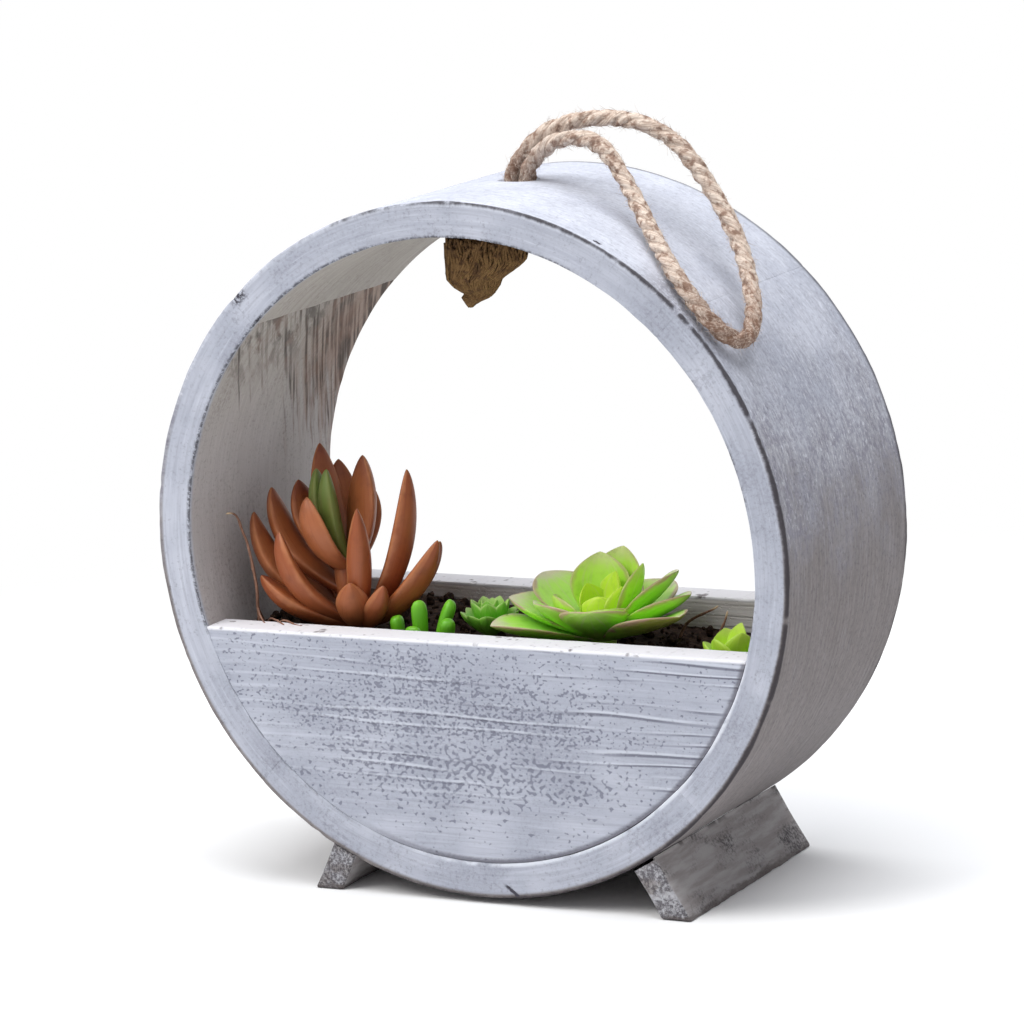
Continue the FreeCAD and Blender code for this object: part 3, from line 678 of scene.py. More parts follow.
def foot_finish(name, seed):
    """Thin limewash: patches of grey specks, paler ends and dark lower edges."""
    material, place, shader = new_finish(name)
    x, y, z = parts_of(place)
    fibre = noise(place, (0.003, 0.02, 0.003), seed, 4.0, 0.6)
    cloud = noise(place, (0.014, 0.02, 0.009), seed + 3)
    colour = mix(rise(fibre, 0.35, 0.65), tone(166, 162, 162), tone(146, 140, 139))
    ends = rise(abs(y), *FOOT_ENDS_FROM)
    white = ends * rise(noise(place, 0.006, seed + 5), 0.44, 0.6)
    colour = mix(white * 0.5, colour, tone(206, 208, 216))
    density = rise(cloud + ends * 0.25, 0.40, 0.70)
    dab = noise(place, 0.0012, seed + 7, 4.0, 0.75)
    dots = rise(dab + density * 0.12, 0.50, 0.72) * density
    colour = mix(dots * 0.85, colour, tone(70, 65, 70))
    ragged = noise(place, (0.004, 0.006, 0.002), seed + 9)
    dirt = fall(z + (ragged - 0.5) * 0.006, 0.0008, 0.0030)
    colour = mix(dirt * 0.7, colour, tone(88, 80, 78))
    relief = fibre * 0.5 - dots * 0.6
    dress(shader, Base_Color=colour, Roughness=0.82, Specular_IOR_Level=0.2, Normal=bump(relief, 0.0003))
    return material


def foot(node, seed):
    """Block along y between the floor and the ring: its two sides lie along the splay, its two ends are eased
    by the square of the way to them, and its top side is pushed out to the ring's circle."""
    low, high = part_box(node)
    splay = math.radians(FOOT_ANGLES[node])
    out = np.array((math.cos(splay), math.sin(splay)))
    over = np.array((-out[1], out[0])) * FOOT_THICKNESS / 2
    seat = RING_RADIUS + FOOT_GLUE_GAP
    top = math.sqrt(seat ** 2 - (FOOT_THICKNESS / 2) ** 2)
    ends = []
    for side in (1, -1):
        bottom = -(RING_CENTRE_Z + side * over[1]) / out[1]
        ends.append([out * reach + side * over + (0, RING_CENTRE_Z) for reach in (top, bottom)])
    outline = np.array((ends[0][0], ends[0][1], ends[1][1], ends[1][0]))
    length = high[1] - low[1]
    near = np.array(FOOT_END_STEPS)
    y = low[1] + np.concatenate([near, np.linspace(FOOT_END, length - FOOT_END, 100), length - near[::-1]])
    corners = np.stack([np.tile(outline[:, 0], (len(y), 1)), np.tile(y[:, None], (1, 4)),
                        np.tile(outline[:, 1], (len(y), 1))], axis=-1)
    wear = FOOT_WEAR * (1 + 0.5 * lumps(corners, 0.008, seed) + 0.4 * lumps(corners, 0.002, seed + 1))
    wear[:, [0, 3]] *= 0.1
    rings = weathered(worn_outlines(corners, wear, *FOOT_STEPS), FOOT_WEATHER, 0.006, seed + 2)
    ease = FOOT_WEAR * (1 - np.minimum(np.minimum(y - low[1], high[1] - y) / FOOT_END, 1)) ** 2
    middle = rings.mean(axis=1, keepdims=True)
    rings = rings - unit(rings - middle) * ease[:, None, None]
    rings[..., 2] = np.maximum(rings[..., 2], low[2])
    radial = rings[..., [0, 2]] - (0, RING_CENTRE_Z)
    distance = np.linalg.norm(radial, axis=-1, keepdims=True)
    seated = distance < seat + FOOT_SEAT
    rings[..., [0, 2]] = (0, RING_CENTRE_Z) + radial * np.where(seated, seat / distance, 1)
    piece = skins(node + "_wood", rings[None], foot_finish("limewashed_" + node, seed))
    drill(piece, [shape_of("foot_screws", piece.data.materials[0])])
    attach(piece, "planter")
    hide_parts(node)


foot("left_foot", 40)
foot("right_foot", 45)

# Fixings: beech dowels across the seams of the ring, steel pins through the ring into the boards, and
# countersunk screws from inside the ring into the feet.


def dowel_finish():
    """Beech: pale brown with short darker flecks and a fine grain."""
    material, place, shader = new_finish("beech_dowel")
    grain = noise(place, (0.0005, 0.0005, 0.006), 1.0, 4.0)
    fleck = noise(place, (0.0004, 0.0004, 0.0016), 2.0, 2.0)
    colour = mix(rise(grain, 0.35, 0.65), tone(206, 170, 128), tone(178, 138, 98))
    colour = mix(rise(fleck, 0.62, 0.7) * 0.6, colour, tone(142, 100, 66))
    dress(shader, Base_Color=colour, Roughness=0.6, Normal=bump(grain, 0.0001))
    return material


def steel_finish():
    """Drawn steel, a little dulled: fine scratches and spots of brown."""
    material, place, shader = new_finish("dull_steel")
    scratch = noise(place, (0.0002, 0.0002, 0.002), 1.0, 3.0)
    rust = rise(noise(place, 0.0012, 3.0), 0.56, 0.7)
    colour = mix(rust * 0.7, mix(scratch, tone(150, 150, 152), tone(186, 187, 190)), tone(112, 78, 58))
    dress(shader, Base_Color=colour, Metallic=1 - rust * 0.8, Roughness=0.34 + rust * 0.3 + scratch * 0.12)
    return material


def refinish(node, finish):
    """Gives a CAD node's object its finish."""
    slots = bpy.data.objects[node].material_slots
    for index in range(len(slots)):
        slots[index].material = finish


refinish("seam_dowels", dowel_finish())
fixing_steel = steel_finish()
refinish("board_pins", fixing_steel)
refinish("foot_screws", fixing_steel)

# Potting soil: dark peat that fills the trough between the boards and is pressed down by hand, banked up a
# little at the left. Loose crumbs lie on top.
TROUGH_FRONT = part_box("front_board")[1].y
TROUGH_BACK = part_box("back_board")[0].y
TROUGH_HALF = math.sqrt(INNER_RADIUS ** 2 - (RING_CENTRE_Z - BOARD_TOP) ** 2)
SOIL_DROP = (0.003, 0.014)
SOIL_ROOM = 0.0002
SOIL_WEAR = 0.0015
SOIL_STEPS = (150, 30, 60, 30, 20)
SOIL_LUMPS = (0.0011, 0.0007, -0.0006)
CRUMBS = 620
CRUMB_SIZES = (0.0006, 0.0022)


def soil_height(x):
    """Straight fall from the left end of the trough to the right."""
    share = (x + TROUGH_HALF) / (2 * TROUGH_HALF)
    return BOARD_TOP - SOIL_DROP[0] - share * (SOIL_DROP[1] - SOIL_DROP[0])


def soil_finish():
    """Moist peat: near black with brown crumbs and a few pale fibres."""
    material, place, shader = new_finish("dark_peat")
    crumb = noise(place, 0.002, 1.0, 4.0, 0.7)
    clod = noise(place, 0.007, 3.0)
    fibre = rise(noise(place, (0.006, 0.0005, 0.0007), 5.0, 2.0), 0.64, 0.7)
    colour = mix(rise(crumb, 0.35, 0.7), tone(30, 22, 20), tone(74, 56, 46))
    colour = mix(rise(clod, 0.5, 0.7) * 0.5, colour, tone(46, 30, 26))
    colour = mix(fibre * 0.5, colour, tone(128, 100, 78))
    dress(shader, Base_Color=colour, Roughness=0.95, Specular_IOR_Level=0.15, Normal=bump(crumb, 0.0012))
    return material


def soil():
    """Bed of soil with a lumpy top, and loose crumbs half sunk in it: balls pushed in and out at random."""
    peat = soil_finish()
    radius = INNER_RADIUS - SOIL_ROOM
    front, back = TROUGH_FRONT + SOIL_ROOM, TROUGH_BACK - SOIL_ROOM
    half = math.sqrt(radius ** 2 - (RING_CENTRE_Z - BOARD_TOP + SOIL_DROP[1]) ** 2)
    bed = trough_outlines(half, front, back, soil_height, radius,
                          lambda corners: SOIL_WEAR + 0 * corners[..., 0], SOIL_STEPS)
    level = np.exp(-((bed[..., 2] - soil_height(bed[..., 0])) / 0.001) ** 2)
    inside = np.minimum(bed[..., 1] - front, back - bed[..., 1])
    level *= np.clip(inside / 0.002, 0, 1)
    coarse, fine, sink = SOIL_LUMPS
    bed[..., 2] += level * (coarse * lumps(bed, 0.006, 71) + fine * lumps(bed, 0.002, 72) + sink)
    piece = skins("soil_bed", bed[None], peat)
    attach(piece, "planter")
    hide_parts("potting_soil")

    draw = np.random.default_rng(73)
    x = draw.uniform(-half * 0.985, half * 0.985, CRUMBS)
    y = draw.uniform(front + 0.0025, back - 0.0025, CRUMBS)
    size = CRUMB_SIZES[0] + (CRUMB_SIZES[1] - CRUMB_SIZES[0]) * draw.uniform(0, 1, CRUMBS) ** 2.5
    centre = np.stack([x, y, soil_height(x) + 0.25 * size], axis=-1)
    tilt = np.linspace(0.12, np.pi - 0.12, 6)[:, None]
    turn = full_turn(8)[None]
    level = np.sin(tilt)
    ball = np.stack([level * np.cos(turn), level * np.sin(turn), np.cos(tilt) + 0 * turn], axis=-1)
    stretch = draw.uniform(0.6, 1.3, (CRUMBS, 1, 1, 3))
    crumbs = ball[None] * size[:, None, None, None] * stretch
    bumps = 1 + 0.35 * lumps(centre[:, None, None] + crumbs, 0.0011, 74)
    crumbs = centre[:, None, None] + crumbs * bumps[..., None]
    loose = skins("soil_crumbs", crumbs, peat)
    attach(loose, "planter")


soil()

# Brown succulent: thick waxy leaves in two loose whorls on a short stem, sienna with redder points, and two
# young leaves in the heart that are still green. It is rooted near the left end, close to the front board.


def rooted(x, depth):
    """Place on the soil at x, at a depth behind the front board."""
    return np.array((x, TROUGH_FRONT + depth, soil_height(x)))


BROWN_PLACE = rooted(-TROUGH_HALF + 0.044, 0.020)
BROWN_LOW = (0.000, 0.000, 0.002)
BROWN_HIGH = (-0.003, 0.002, 0.022)
BROWN_STEM_TOP = (-0.004, 0.002, 0.025)
BROWN_LEAF = (0.0134, 0.0096)
BROWN_SETOUT = 0.0025
BROWN_STEM = (0.011, 0.013)
STEM_SINK = (0, 0, 0.004)
BROWN_LOW_TIPS = (
    (-0.031, -0.015, 0.021), (-0.021, -0.017, 0.038), (0.006, -0.015, 0.020), (0.018, -0.012, 0.019),
    (0.037, -0.004, 0.035), (0.022, 0.003, 0.059), (0.009, -0.012, 0.047), (0.027, 0.016, 0.030),
    (-0.017, 0.020, 0.036), (-0.036, 0.012, 0.037), (-0.039, -0.004, 0.042),
)
BROWN_HIGH_TIPS = (
    (-0.035, 0.003, 0.050), (-0.027, 0.009, 0.052), (-0.012, -0.011, 0.050),
    (-0.020, 0.014, 0.065), (-0.016, 0.020, 0.058), (0.000, 0.010, 0.062), (-0.009, -0.001, 0.0585),
    (-0.015, 0.002, 0.058), (-0.007, 0.024, 0.050),
)
BROWN_BETWEEN = (-0.002, 0.001, 0.013)
LEAF_BETWEEN = 11
GREEN_HEART = [17, 18]
GREEN_WIDTH = 0.0130
NARROW_LEAVES = [3, 6]
NARROW_WIDTH = 0.0092
BROAD_LEAF = 13
BROAD_WIDTH = 0.0165
UPRIGHT_FROM = 0.035
UPRIGHT_BEND = (0.92, 0.32)
SPREADING_BEND = (0.62, 0.22)
# The colours of a leaf are those of its root, body, tip, margin and underside.
BROWN_COLOURS = ((84, 44, 27), (158, 88, 48), (112, 48, 34), (178, 112, 72), (148, 78, 42))
BROWN_YOUNG = (106, 124, 58)


def leaf_skins(roots, tips, width, thickness, bend, cup, outline, keen=1.0, steps=(34, 24)):
    """Fleshy leaves, all at once. Each has a quadratic curve from root to tip as its midrib, whose middle
    point is bend's share out and up. Across it the section is an oval of the width and thickness that outline
    gives along the leaf, flatter above than below, with its margins lifted by cup. Above 1, the power keen of
    the sine that gives the section its height makes the margins sharper."""
    along = (1 - np.cos(np.linspace(0.02, 1, steps[0]) * np.pi)) / 2
    roots, tips = np.atleast_2d(roots) + 0 * tips, np.asarray(tips)
    middle = roots + (tips - roots) * np.asarray(bend)[..., [0, 0, 1]]
    midrib = bow(along[None, :, None], roots[:, None], middle[:, None], tips[:, None])
    ahead = unit(np.gradient(midrib, axis=1))
    sideways = np.cross(tips - roots, (0, 0, 1)) + (1e-7, 0, 0)
    across = unit(sideways)[:, None, None]
    over = np.cross(across, ahead[:, :, None])
    turn = full_turn(steps[1])[None, None, :, None]
    wide, thick = (np.reshape(size, (-1, 1, 1, 1)) / 2 for size in (width, thickness))
    full = outline(along)[None, :, None, None]
    height = np.sign(np.sin(turn)) * np.abs(np.sin(turn)) ** keen
    rise_up = np.where(height > 0, 0.6, 1.0) * height * thick * full ** 0.8
    rise_up = rise_up + cup * wide * full * np.cos(turn) ** 2
    skin = midrib[:, :, None] + across * wide * full * np.cos(turn) + over * rise_up
    return skin, along[None, :, None], np.abs(np.cos(turn[..., 0])), (np.sin(turn[..., 0]) > 0.2) * 1.0


def lance(along):
    """Leaf outline: half its width at the root, growing by a sine to the full width past the middle, then
    closing to a point as one less the square of the way there."""
    growing = 0.5 + 0.5 * np.sin(np.pi / 2 * np.minimum(along / 0.58, 1))
    closing = np.maximum((along - 0.58) / 0.42, 0)
    return growing * np.maximum(1 - closing ** 2, 0) ** 0.75 + 0.004


def mark(place, name):
    """Value of the mesh's own mark."""
    return place.node("Attribute", {"attribute_name": name}, {}, 2)


def leaf_finish(name, colours, gloss, young=None, glow=0.12, varied=0.0, blush=None):
    """Waxy leaf: colour from root to tip along the leaf, with a coloured margin, another colour below, faint
    lengthwise streaks, for young leaves the colour of the heart, and below the oldest leaves a blush."""
    material, place, shader = new_finish(name)
    root, body, tip, margin, under = (tone(*shade) for shade in colours)
    along, edge, above, age = (mark(place, word) for word in ("along", "edge", "above", "age"))
    mottle = noise(place, 0.005, 1.0, 3.0)
    vein = noise(joined(along * 0.03, edge * 0.01, age), (0.02, 0.0012, 1.0), 2.0)
    colour = mix(rise(along, 0.05, 0.4), root, body)
    colour = mix(rise(along + (mottle - 0.5) * 0.2, 0.75, 1.0) * 0.8, colour, tip)
    colour = mix((1 - above) * 0.75, colour, under)
    colour = mix((age - 0.25) * fall(age, 0.5, 0.6) * varied, colour, margin)
    is_young = rise(age, 0.6, 0.9)
    if young:
        colour = mix(is_young, colour, tone(*young))
    if blush:
        oldest = (1 - above) * fall(age, 0.02, 0.15) * rise(along, 0.2, 0.8)
        colour = mix(oldest * 0.7, colour, tone(*blush))
    blotch = noise(place, 0.009, 4.0, 2.0)
    rim = rise(edge + (blotch - 0.5) * 0.5 + along * 0.16, 0.94, 1.12)
    colour = mix(rim * (1 - is_young * 0.9) * 0.85, colour, margin)
    colour = mix(rise(mottle, 0.5, 0.75) * 0.25, colour, root)
    colour = mix(rise(vein, 0.5, 0.7) * 0.18, colour, tip)
    dress(shader, Base_Color=colour, Roughness=gloss + mottle * 0.14, Specular_IOR_Level=0.4,
          Subsurface_Weight=glow, Subsurface_Radius=(0.5, 0.6, 0.2), Subsurface_Scale=0.01,
          Normal=bump(mottle * 0.6 + vein * 0.4, 0.0003))
    return material


def plant(name, node, groups, finish):
    """One mesh of leaf groups of the same size, each with its marks, that stands for a CAD node."""
    rings = np.concatenate([group[0] for group in groups])
    along, edge, above = groups[0][1:4]
    ages = [np.broadcast_to(np.reshape(group[4], (-1, 1, 1)), group[0].shape[:3]) for group in groups]
    piece = skins(name, rings, finish, along=along, edge=edge, above=above, age=np.concatenate(ages))
    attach(piece, "planter")
    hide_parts(node)


def stub(along):
    """Rounded stem: the square root of one less the eighth power of the way from its middle."""
    return np.sqrt(np.maximum(1 - (2 * along - 1) ** 8, 0)) + 0.004


brown_roots = np.array([BROWN_LOW] * len(BROWN_LOW_TIPS) + [BROWN_HIGH] * len(BROWN_HIGH_TIPS))
brown_roots[LEAF_BETWEEN] = BROWN_BETWEEN
brown_tips = np.array(BROWN_LOW_TIPS + BROWN_HIGH_TIPS)
brown_start = brown_roots + unit((brown_tips - brown_roots) * (1, 1, 0.3)) * BROWN_SETOUT
brown_age = np.random.default_rng(81).uniform(0, 0.5, len(brown_tips))
brown_age[GREEN_HEART] = 1.0
brown_bend = np.where(brown_tips[:, 2:] > UPRIGHT_FROM, UPRIGHT_BEND, SPREADING_BEND)
brown_width = BROWN_LEAF[0] * np.random.default_rng(82).uniform(0.90, 1.14, len(brown_tips))
brown_width[NARROW_LEAVES] = NARROW_WIDTH
brown_width[GREEN_HEART] = GREEN_WIDTH
brown_width[BROAD_LEAF] = BROAD_WIDTH
brown_leaves = leaf_skins(BROWN_PLACE + brown_start, BROWN_PLACE + brown_tips, brown_width, BROWN_LEAF[1],
                          brown_bend, 0.12, lance, 1.35)
brown_stem = leaf_skins(BROWN_PLACE - STEM_SINK, BROWN_PLACE + np.array([BROWN_STEM_TOP]), *BROWN_STEM,
                        (0.5, 0.5), 0.0, stub)
brown_skin = leaf_finish("sienna_leaf", BROWN_COLOURS, 0.40, young=BROWN_YOUNG, varied=1.6)
plant("brown_leaves", "brown_succulent",
      [(*brown_leaves, brown_age), (*brown_stem, 0.2)], brown_skin)

# Green rosette: broad cupped leaves with pinkish margins round a lime heart, on a short thick stem that is
# planted right of the middle. The outer leaves spread level, and the inner ones stand up.
ROSETTE_PLACE = rooted(0.028, 0.035)
ROSETTE_ROOT = (0.0, 0.0, 0.002)
ROSETTE_SETOUT = 0.002
ROSETTE_STEM = (0.010, 0.012)
ROSETTE_STEM_TOP = (0, 0, 0.004)
ROSETTE_OUTER = ((0.027, 0.027, 0.027, 0.027, 0.027, 0.024, 0.023, 0.025, 0.0235, 0.024), 0.0036)
ROSETTE_INNER = (0.0205, 0.0030)
ROSETTE_HEART = (0.0136, 0.0024)
ROSETTE_OUTER_TIPS = (
    (-0.031, -0.026, 0.011), (-0.034, -0.005, 0.017), (-0.028, 0.012, 0.023), (-0.012, 0.030, 0.019),
    (0.014, 0.031, 0.018), (0.030, 0.004, 0.028), (0.039, -0.006, 0.022), (0.042, -0.022, 0.0175),
    (0.011, -0.030, 0.019), (-0.015, -0.022, 0.019),
)
ROSETTE_INNER_TIPS = (
    (0.002, 0.017, 0.033), (-0.004, 0.010, 0.032), (0.016, 0.004, 0.030), (0.010, -0.013, 0.0165),
    (-0.013, -0.011, 0.020),
)
ROSETTE_AGES = (0.1, 0.2, 0.2, 0.2, 0.2, 0.2, 0.2, 0.0, 0.2, 0.2)
ROSETTE_HEART_TIPS = (
    (0.004, 0.006, 0.026), (0.009, 0.000, 0.022), (0.002, -0.005, 0.019), (-0.006, 0.002, 0.022),
)
# The underside and root are darker than the body, partly their own colour and partly painted shade in the
# lower leaves.
ROSETTE_COLOURS = ((120, 184, 30), (188, 244, 90), (226, 208, 194), (190, 150, 138), (164, 226, 74))
ROSETTE_YOUNG = (216, 252, 74)
ROSETTE_BLUSH = (136, 92, 52)


def spoon(along):
    """Leaf outline: narrow at the root, then by the sine of a power of the way along it is full past the
    middle and rounded to a short point."""
    full = np.maximum(np.sin(np.pi * along ** 1.7), 0) ** 0.75
    return 0.28 * (1 - along) + full * (0.9 + 0.1 * along) + 0.004


rosette_groups = []
for tips, size, age, bend, cup in ((ROSETTE_OUTER_TIPS, ROSETTE_OUTER, ROSETTE_AGES, (0.46, 0.45), 0.24),
                                   (ROSETTE_INNER_TIPS, ROSETTE_INNER, 0.72, (0.80, 0.45), 0.34),
                                   (ROSETTE_HEART_TIPS, ROSETTE_HEART, 1.0, (0.9, 0.5), 0.38)):
    ends = ROSETTE_PLACE + np.array(tips)
    root = ROSETTE_PLACE + ROSETTE_ROOT + unit((ends - ROSETTE_PLACE) * (1, 1, 0)) * ROSETTE_SETOUT
    rosette_groups.append((*leaf_skins(root, ends, *size, bend, cup, spoon), age))
rosette_stem = leaf_skins(ROSETTE_PLACE - STEM_SINK, ROSETTE_PLACE + np.array([ROSETTE_STEM_TOP]),
                          *ROSETTE_STEM, (0.5, 0.5), 0.0, stub)
rosette_groups.append((*rosette_stem, 0.3))
rosette_skin = leaf_finish("rosette_leaf", ROSETTE_COLOURS, 0.34, young=ROSETTE_YOUNG, glow=0.2,
                           blush=ROSETTE_BLUSH)
plant("rosette_leaves", "green_rosette", rosette_groups, rosette_skin)

# Bean sedum, small tuft and lime sprig: three young succulents set in the soil. The sedum has bean-shaped
# leaves, the tuft is a little open rosette with pale tips, and the sprig stands by the right end.
# Each bean is given by its place and its lift from there to its tip.
BEANS = (((-0.041, 0.011), (-0.001, 0.000, 0.006)), ((-0.033, 0.012), (-0.001, 0.001, 0.012)),
         ((-0.026, 0.011), (0.005, 0.003, 0.013)), ((-0.021, 0.008), (0.002, -0.001, 0.008)),
         ((-0.033, 0.005), (0.000, 0.001, 0.004)))
BEAN_DIAMETER = 0.0064
BEAN_SINK = (0, 0, 0.002)
BEAN_RISE = (0, 0, 0.0048)
BEAN_COLOURS = ((70, 136, 20), (106, 184, 34), (130, 204, 54), (106, 184, 34), (92, 168, 28))
TUFT_PLACE = rooted(-0.013, 0.028)
TUFT_LEAF = (0.0074, 0.0018)
# A whorl has a number of leaves, their reach and lift, and the turn of the first one.
TUFT_WHORLS = ((9, 0.0108, 0.0100, 0.2), (7, 0.0072, 0.0138, 0.6), (4, 0.0030, 0.0140, 0.1))
TUFT_FULL_REACH = 0.02
TUFT_COLOURS = ((96, 176, 34), (142, 220, 66), (206, 232, 150), (190, 222, 130), (116, 196, 52))
SPRIG_PLACE = rooted(TROUGH_HALF - 0.019, 0.018)
SPRIG_TIPS = ((-0.010, -0.004, 0.012), (-0.004, -0.007, 0.014), (0.005, -0.004, 0.016), (0.009, 0.003, 0.013),
              (-0.006, 0.006, 0.015), (0.002, 0.003, 0.018))
SPRIG_LEAF = (0.0120, 0.0022)
SPRIG_COLOURS = ((160, 214, 40), (204, 246, 72), (220, 248, 120), (190, 232, 84), (184, 236, 62))


def bean(along):
    """Bean outline: the square root of one less the fourth power of the way from its middle."""
    return np.sqrt(np.maximum(1 - (2 * along - 1) ** 4, 0)) * (0.8 + 0.2 * along) + 0.004


bean_roots = np.array([rooted(*spot) for spot, lift in BEANS]) - BEAN_SINK
bean_tips = bean_roots + np.array([lift for spot, lift in BEANS]) + BEAN_RISE
bean_leaves = leaf_skins(bean_roots, bean_tips, BEAN_DIAMETER, BEAN_DIAMETER, (0.3, 0.55), 0.0, bean)
plant("bean_leaves", "bean_sedum", [(*bean_leaves, 0.3)],
      leaf_finish("bean_leaf", BEAN_COLOURS, 0.3))

tuft_groups = []
for count, reach, lift, turn in TUFT_WHORLS:
    spin = turn + np.arange(count) * 2 * np.pi / count
    tips = TUFT_PLACE + np.stack([reach * np.cos(spin), reach * np.sin(spin), lift + 0 * spin], axis=-1)
    whorl = leaf_skins(TUFT_PLACE, tips, *TUFT_LEAF, (0.6, 0.4), 0.3, spoon)
    tuft_groups.append((*whorl, reach / TUFT_FULL_REACH))
plant("tuft_leaves", "small_tuft", tuft_groups, leaf_finish("tuft_leaf", TUFT_COLOURS, 0.36))

sprig_tips = SPRIG_PLACE + np.array(SPRIG_TIPS)
sprig_leaves = leaf_skins(SPRIG_PLACE, sprig_tips, *SPRIG_LEAF, (0.7, 0.35), 0.25, spoon)
plant("sprig_leaves", "lime_sprig", [(*sprig_leaves, 0.3)],
      leaf_finish("lime_leaf", SPRIG_COLOURS, 0.34, glow=0.2))

# Dry twigs: a bare flower stem at the left wall, two brown twigs behind the rosette, and thin roots that lie
# over the front board at the left. They are dead stems of the plants, left standing in the soil.
TWIG_DIAMETER = 0.0013
TWIG_CROOK = 0.0007
LEFT_TWIG_PLACE = rooted(-TROUGH_HALF + 0.010, 0.008)
LEFT_TWIG = ((0, 0, -0.003), (-0.002, -0.001, 0.010), (0.002, 0.000, 0.020), (-0.006, -0.001, 0.032),
             (-0.006, 0.002, 0.044), (-0.0125, 0.000, 0.0405))
RIGHT_TWIG_PLACE = rooted(TROUGH_HALF - 0.049, 0.048)
RIGHT_TWIGS = (
    ((-0.006, 0.001, -0.003), (-0.007, 0, 0.011), (0.004, -0.003, 0.010), (0.012, -0.004, 0.0165)),
    ((0.013, -0.013, -0.003), (0.014, -0.014, 0.008), (0.020, -0.015, 0.009), (0.021, -0.015, 0.0175)),
)
TWIG_STATIONS = 40


def twig_finish():
    """Dry stem: brown bark, streaked paler, with a straw-coloured point."""
    material, place, shader = new_finish("dry_bark")
    along = mark(place, "along")
    bark = noise(place, (0.0007, 0.0007, 0.003), 1.0, 3.0)
    colour = mix(rise(bark, 0.35, 0.7), tone(122, 86, 70), tone(166, 124, 102))
    colour = mix(rise(along, 0.86, 0.97), colour, tone(222, 196, 160))
    dress(shader, Base_Color=colour, Roughness=0.75, Normal=bump(bark, 0.0003))
    return material


def crooked(routes, stations):
    """Points along the Bezier curve of each route's points, pushed aside at random more and more along it."""
    along = np.linspace(0, 1, stations)
    lines = []
    for route in routes:
        degree = len(route) - 1
        weights = [math.comb(degree, k) * along ** k * (1 - along) ** (degree - k) for k in range(degree + 1)]
        line = np.stack(weights).T @ np.array(route)
        push = np.stack([lumps(line, 0.0045, seed) for seed in (91, 92, 93)], axis=-1)
        lines.append(line + TWIG_CROOK * push * along[:, None] ** 0.5)
    return np.stack(lines)


def stem_skins(lines, diameter, around):
    """Thin stems along lines, with nodes swollen by a high power of a sine, drawn out to a blunt point. Each
    ring lies square to its line."""
    along = np.linspace(0, 1, lines.shape[1])
    turn = full_turn(around)[:, None]
    ahead = unit(np.gradient(lines, axis=1))
    across = unit(np.cross(ahead, (0.2, 1.0, 0.1)))
    over = np.cross(across, ahead)
    radius = diameter / 2 * (1 - 0.45 * along) * (1 + 0.3 * np.maximum(np.sin(along * 19), 0) ** 8)
    radius = (radius * np.sqrt(np.minimum((1.001 - along) / 0.03, 1)))[:, None, None]
    circle = np.cos(turn) * across[:, :, None] + np.sin(turn) * over[:, :, None]
    return lines[:, :, None] + radius * circle, along[None, :, None]


twig_routes = [LEFT_TWIG_PLACE + np.array(LEFT_TWIG)]
twig_routes += [RIGHT_TWIG_PLACE + np.array(route) for route in RIGHT_TWIGS]
dry_bark = twig_finish()
twig_rings, twig_along = stem_skins(crooked(twig_routes, TWIG_STATIONS), TWIG_DIAMETER, 10)
twigs = skins("dry_stems", twig_rings, dry_bark, along=twig_along)
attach(twigs, "planter")
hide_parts("dry_twigs")

ROOT_DIAMETER = 0.0009
ROOT_LEVEL = BOARD_TOP - 0.003
ROOT_STATIONS = 24
ROOTS = (
    ((-0.094, -0.030, -0.002), (-0.092, -0.034, 0.006), (-0.086, -0.039, 0.0035), (-0.080, -0.043, 0.0032)),
    ((-0.090, -0.032, -0.002), (-0.086, -0.036, 0.006), (-0.080, -0.041, 0.0036), (-0.073, -0.042, 0.0030)),
    ((-0.098, -0.026, -0.002), (-0.099, -0.032, 0.012), (-0.094, -0.037, 0.004), (-0.089, -0.042, 0.0032)),
)
root_routes = [[(x, y, ROOT_LEVEL + z) for x, y, z in route] for route in ROOTS]
root_rings, root_along = stem_skins(crooked(root_routes, ROOT_STATIONS), ROOT_DIAMETER, 8)
roots = skins("dry_roots", root_rings, dry_bark, along=root_along * 0.8)
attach(roots, "planter")

# Rope: three-strand twisted jute. One length goes up through the hole, out over the right shoulder
# of the ring, folds back on itself near the front rim and comes back down the same hole.
ROPE_DIAMETER = 0.0066
MOUTH = np.array((0, ROPE_HOLE_Y, RING_CENTRE_Z + RING_RADIUS))
ROPE_ROUTE = (
    (-0.0014, -0.0047, -0.0265), (0.0034, -0.0008, -0.0155), (0.0035, -0.0006, -0.0020),
    (0.0047, -0.0010, 0.0046), (0.0134, -0.0027, 0.0125), (0.0230, -0.0050, 0.0156),
    (0.0332, -0.0080, 0.0154), (0.0411, -0.0110, 0.0117), (0.0482, -0.0150, 0.0045),
    (0.0565, -0.0210, -0.0042), (0.0660, -0.0300, -0.0130), (0.0766, -0.0405, -0.0214),
    (0.0861, -0.0485, -0.0286), (0.0931, -0.0515, -0.0356), (0.0995, -0.0515, -0.0426),
    (0.1049, -0.0475, -0.0478), (0.1064, -0.0400, -0.0479), (0.1046, -0.0320, -0.0422),
    (0.0998, -0.0220, -0.0350), (0.0934, -0.0130, -0.0260), (0.0868, -0.0060, -0.0170),
    (0.0788, -0.0010, -0.0070), (0.0697, 0.0030, 0.0035), (0.0610, 0.0050, 0.0126),
    (0.0503, 0.0060, 0.0187), (0.0375, 0.0060, 0.0212), (0.0248, 0.0055, 0.0210),
    (0.0136, 0.0045, 0.0181), (0.0046, 0.0035, 0.0129), (-0.0025, 0.0017, 0.0040),
    (-0.0035, 0.0006, -0.0020), (-0.0039, 0.0003, -0.0155), (-0.0088, -0.0040, -0.0255),
)
ROPE_CLOSENESS = 22
ROPE_FOLD = (0.104, -0.045, -0.046)
FOLD_SHADE_AND_DIRT = 0.024
MOUTH_SHADE = 0.010
STRANDS = 3
STRAND_LAY = 0.023
LAY_SLACK = 0.0030
STRAND_SHARE = 0.66
YARNS = 5
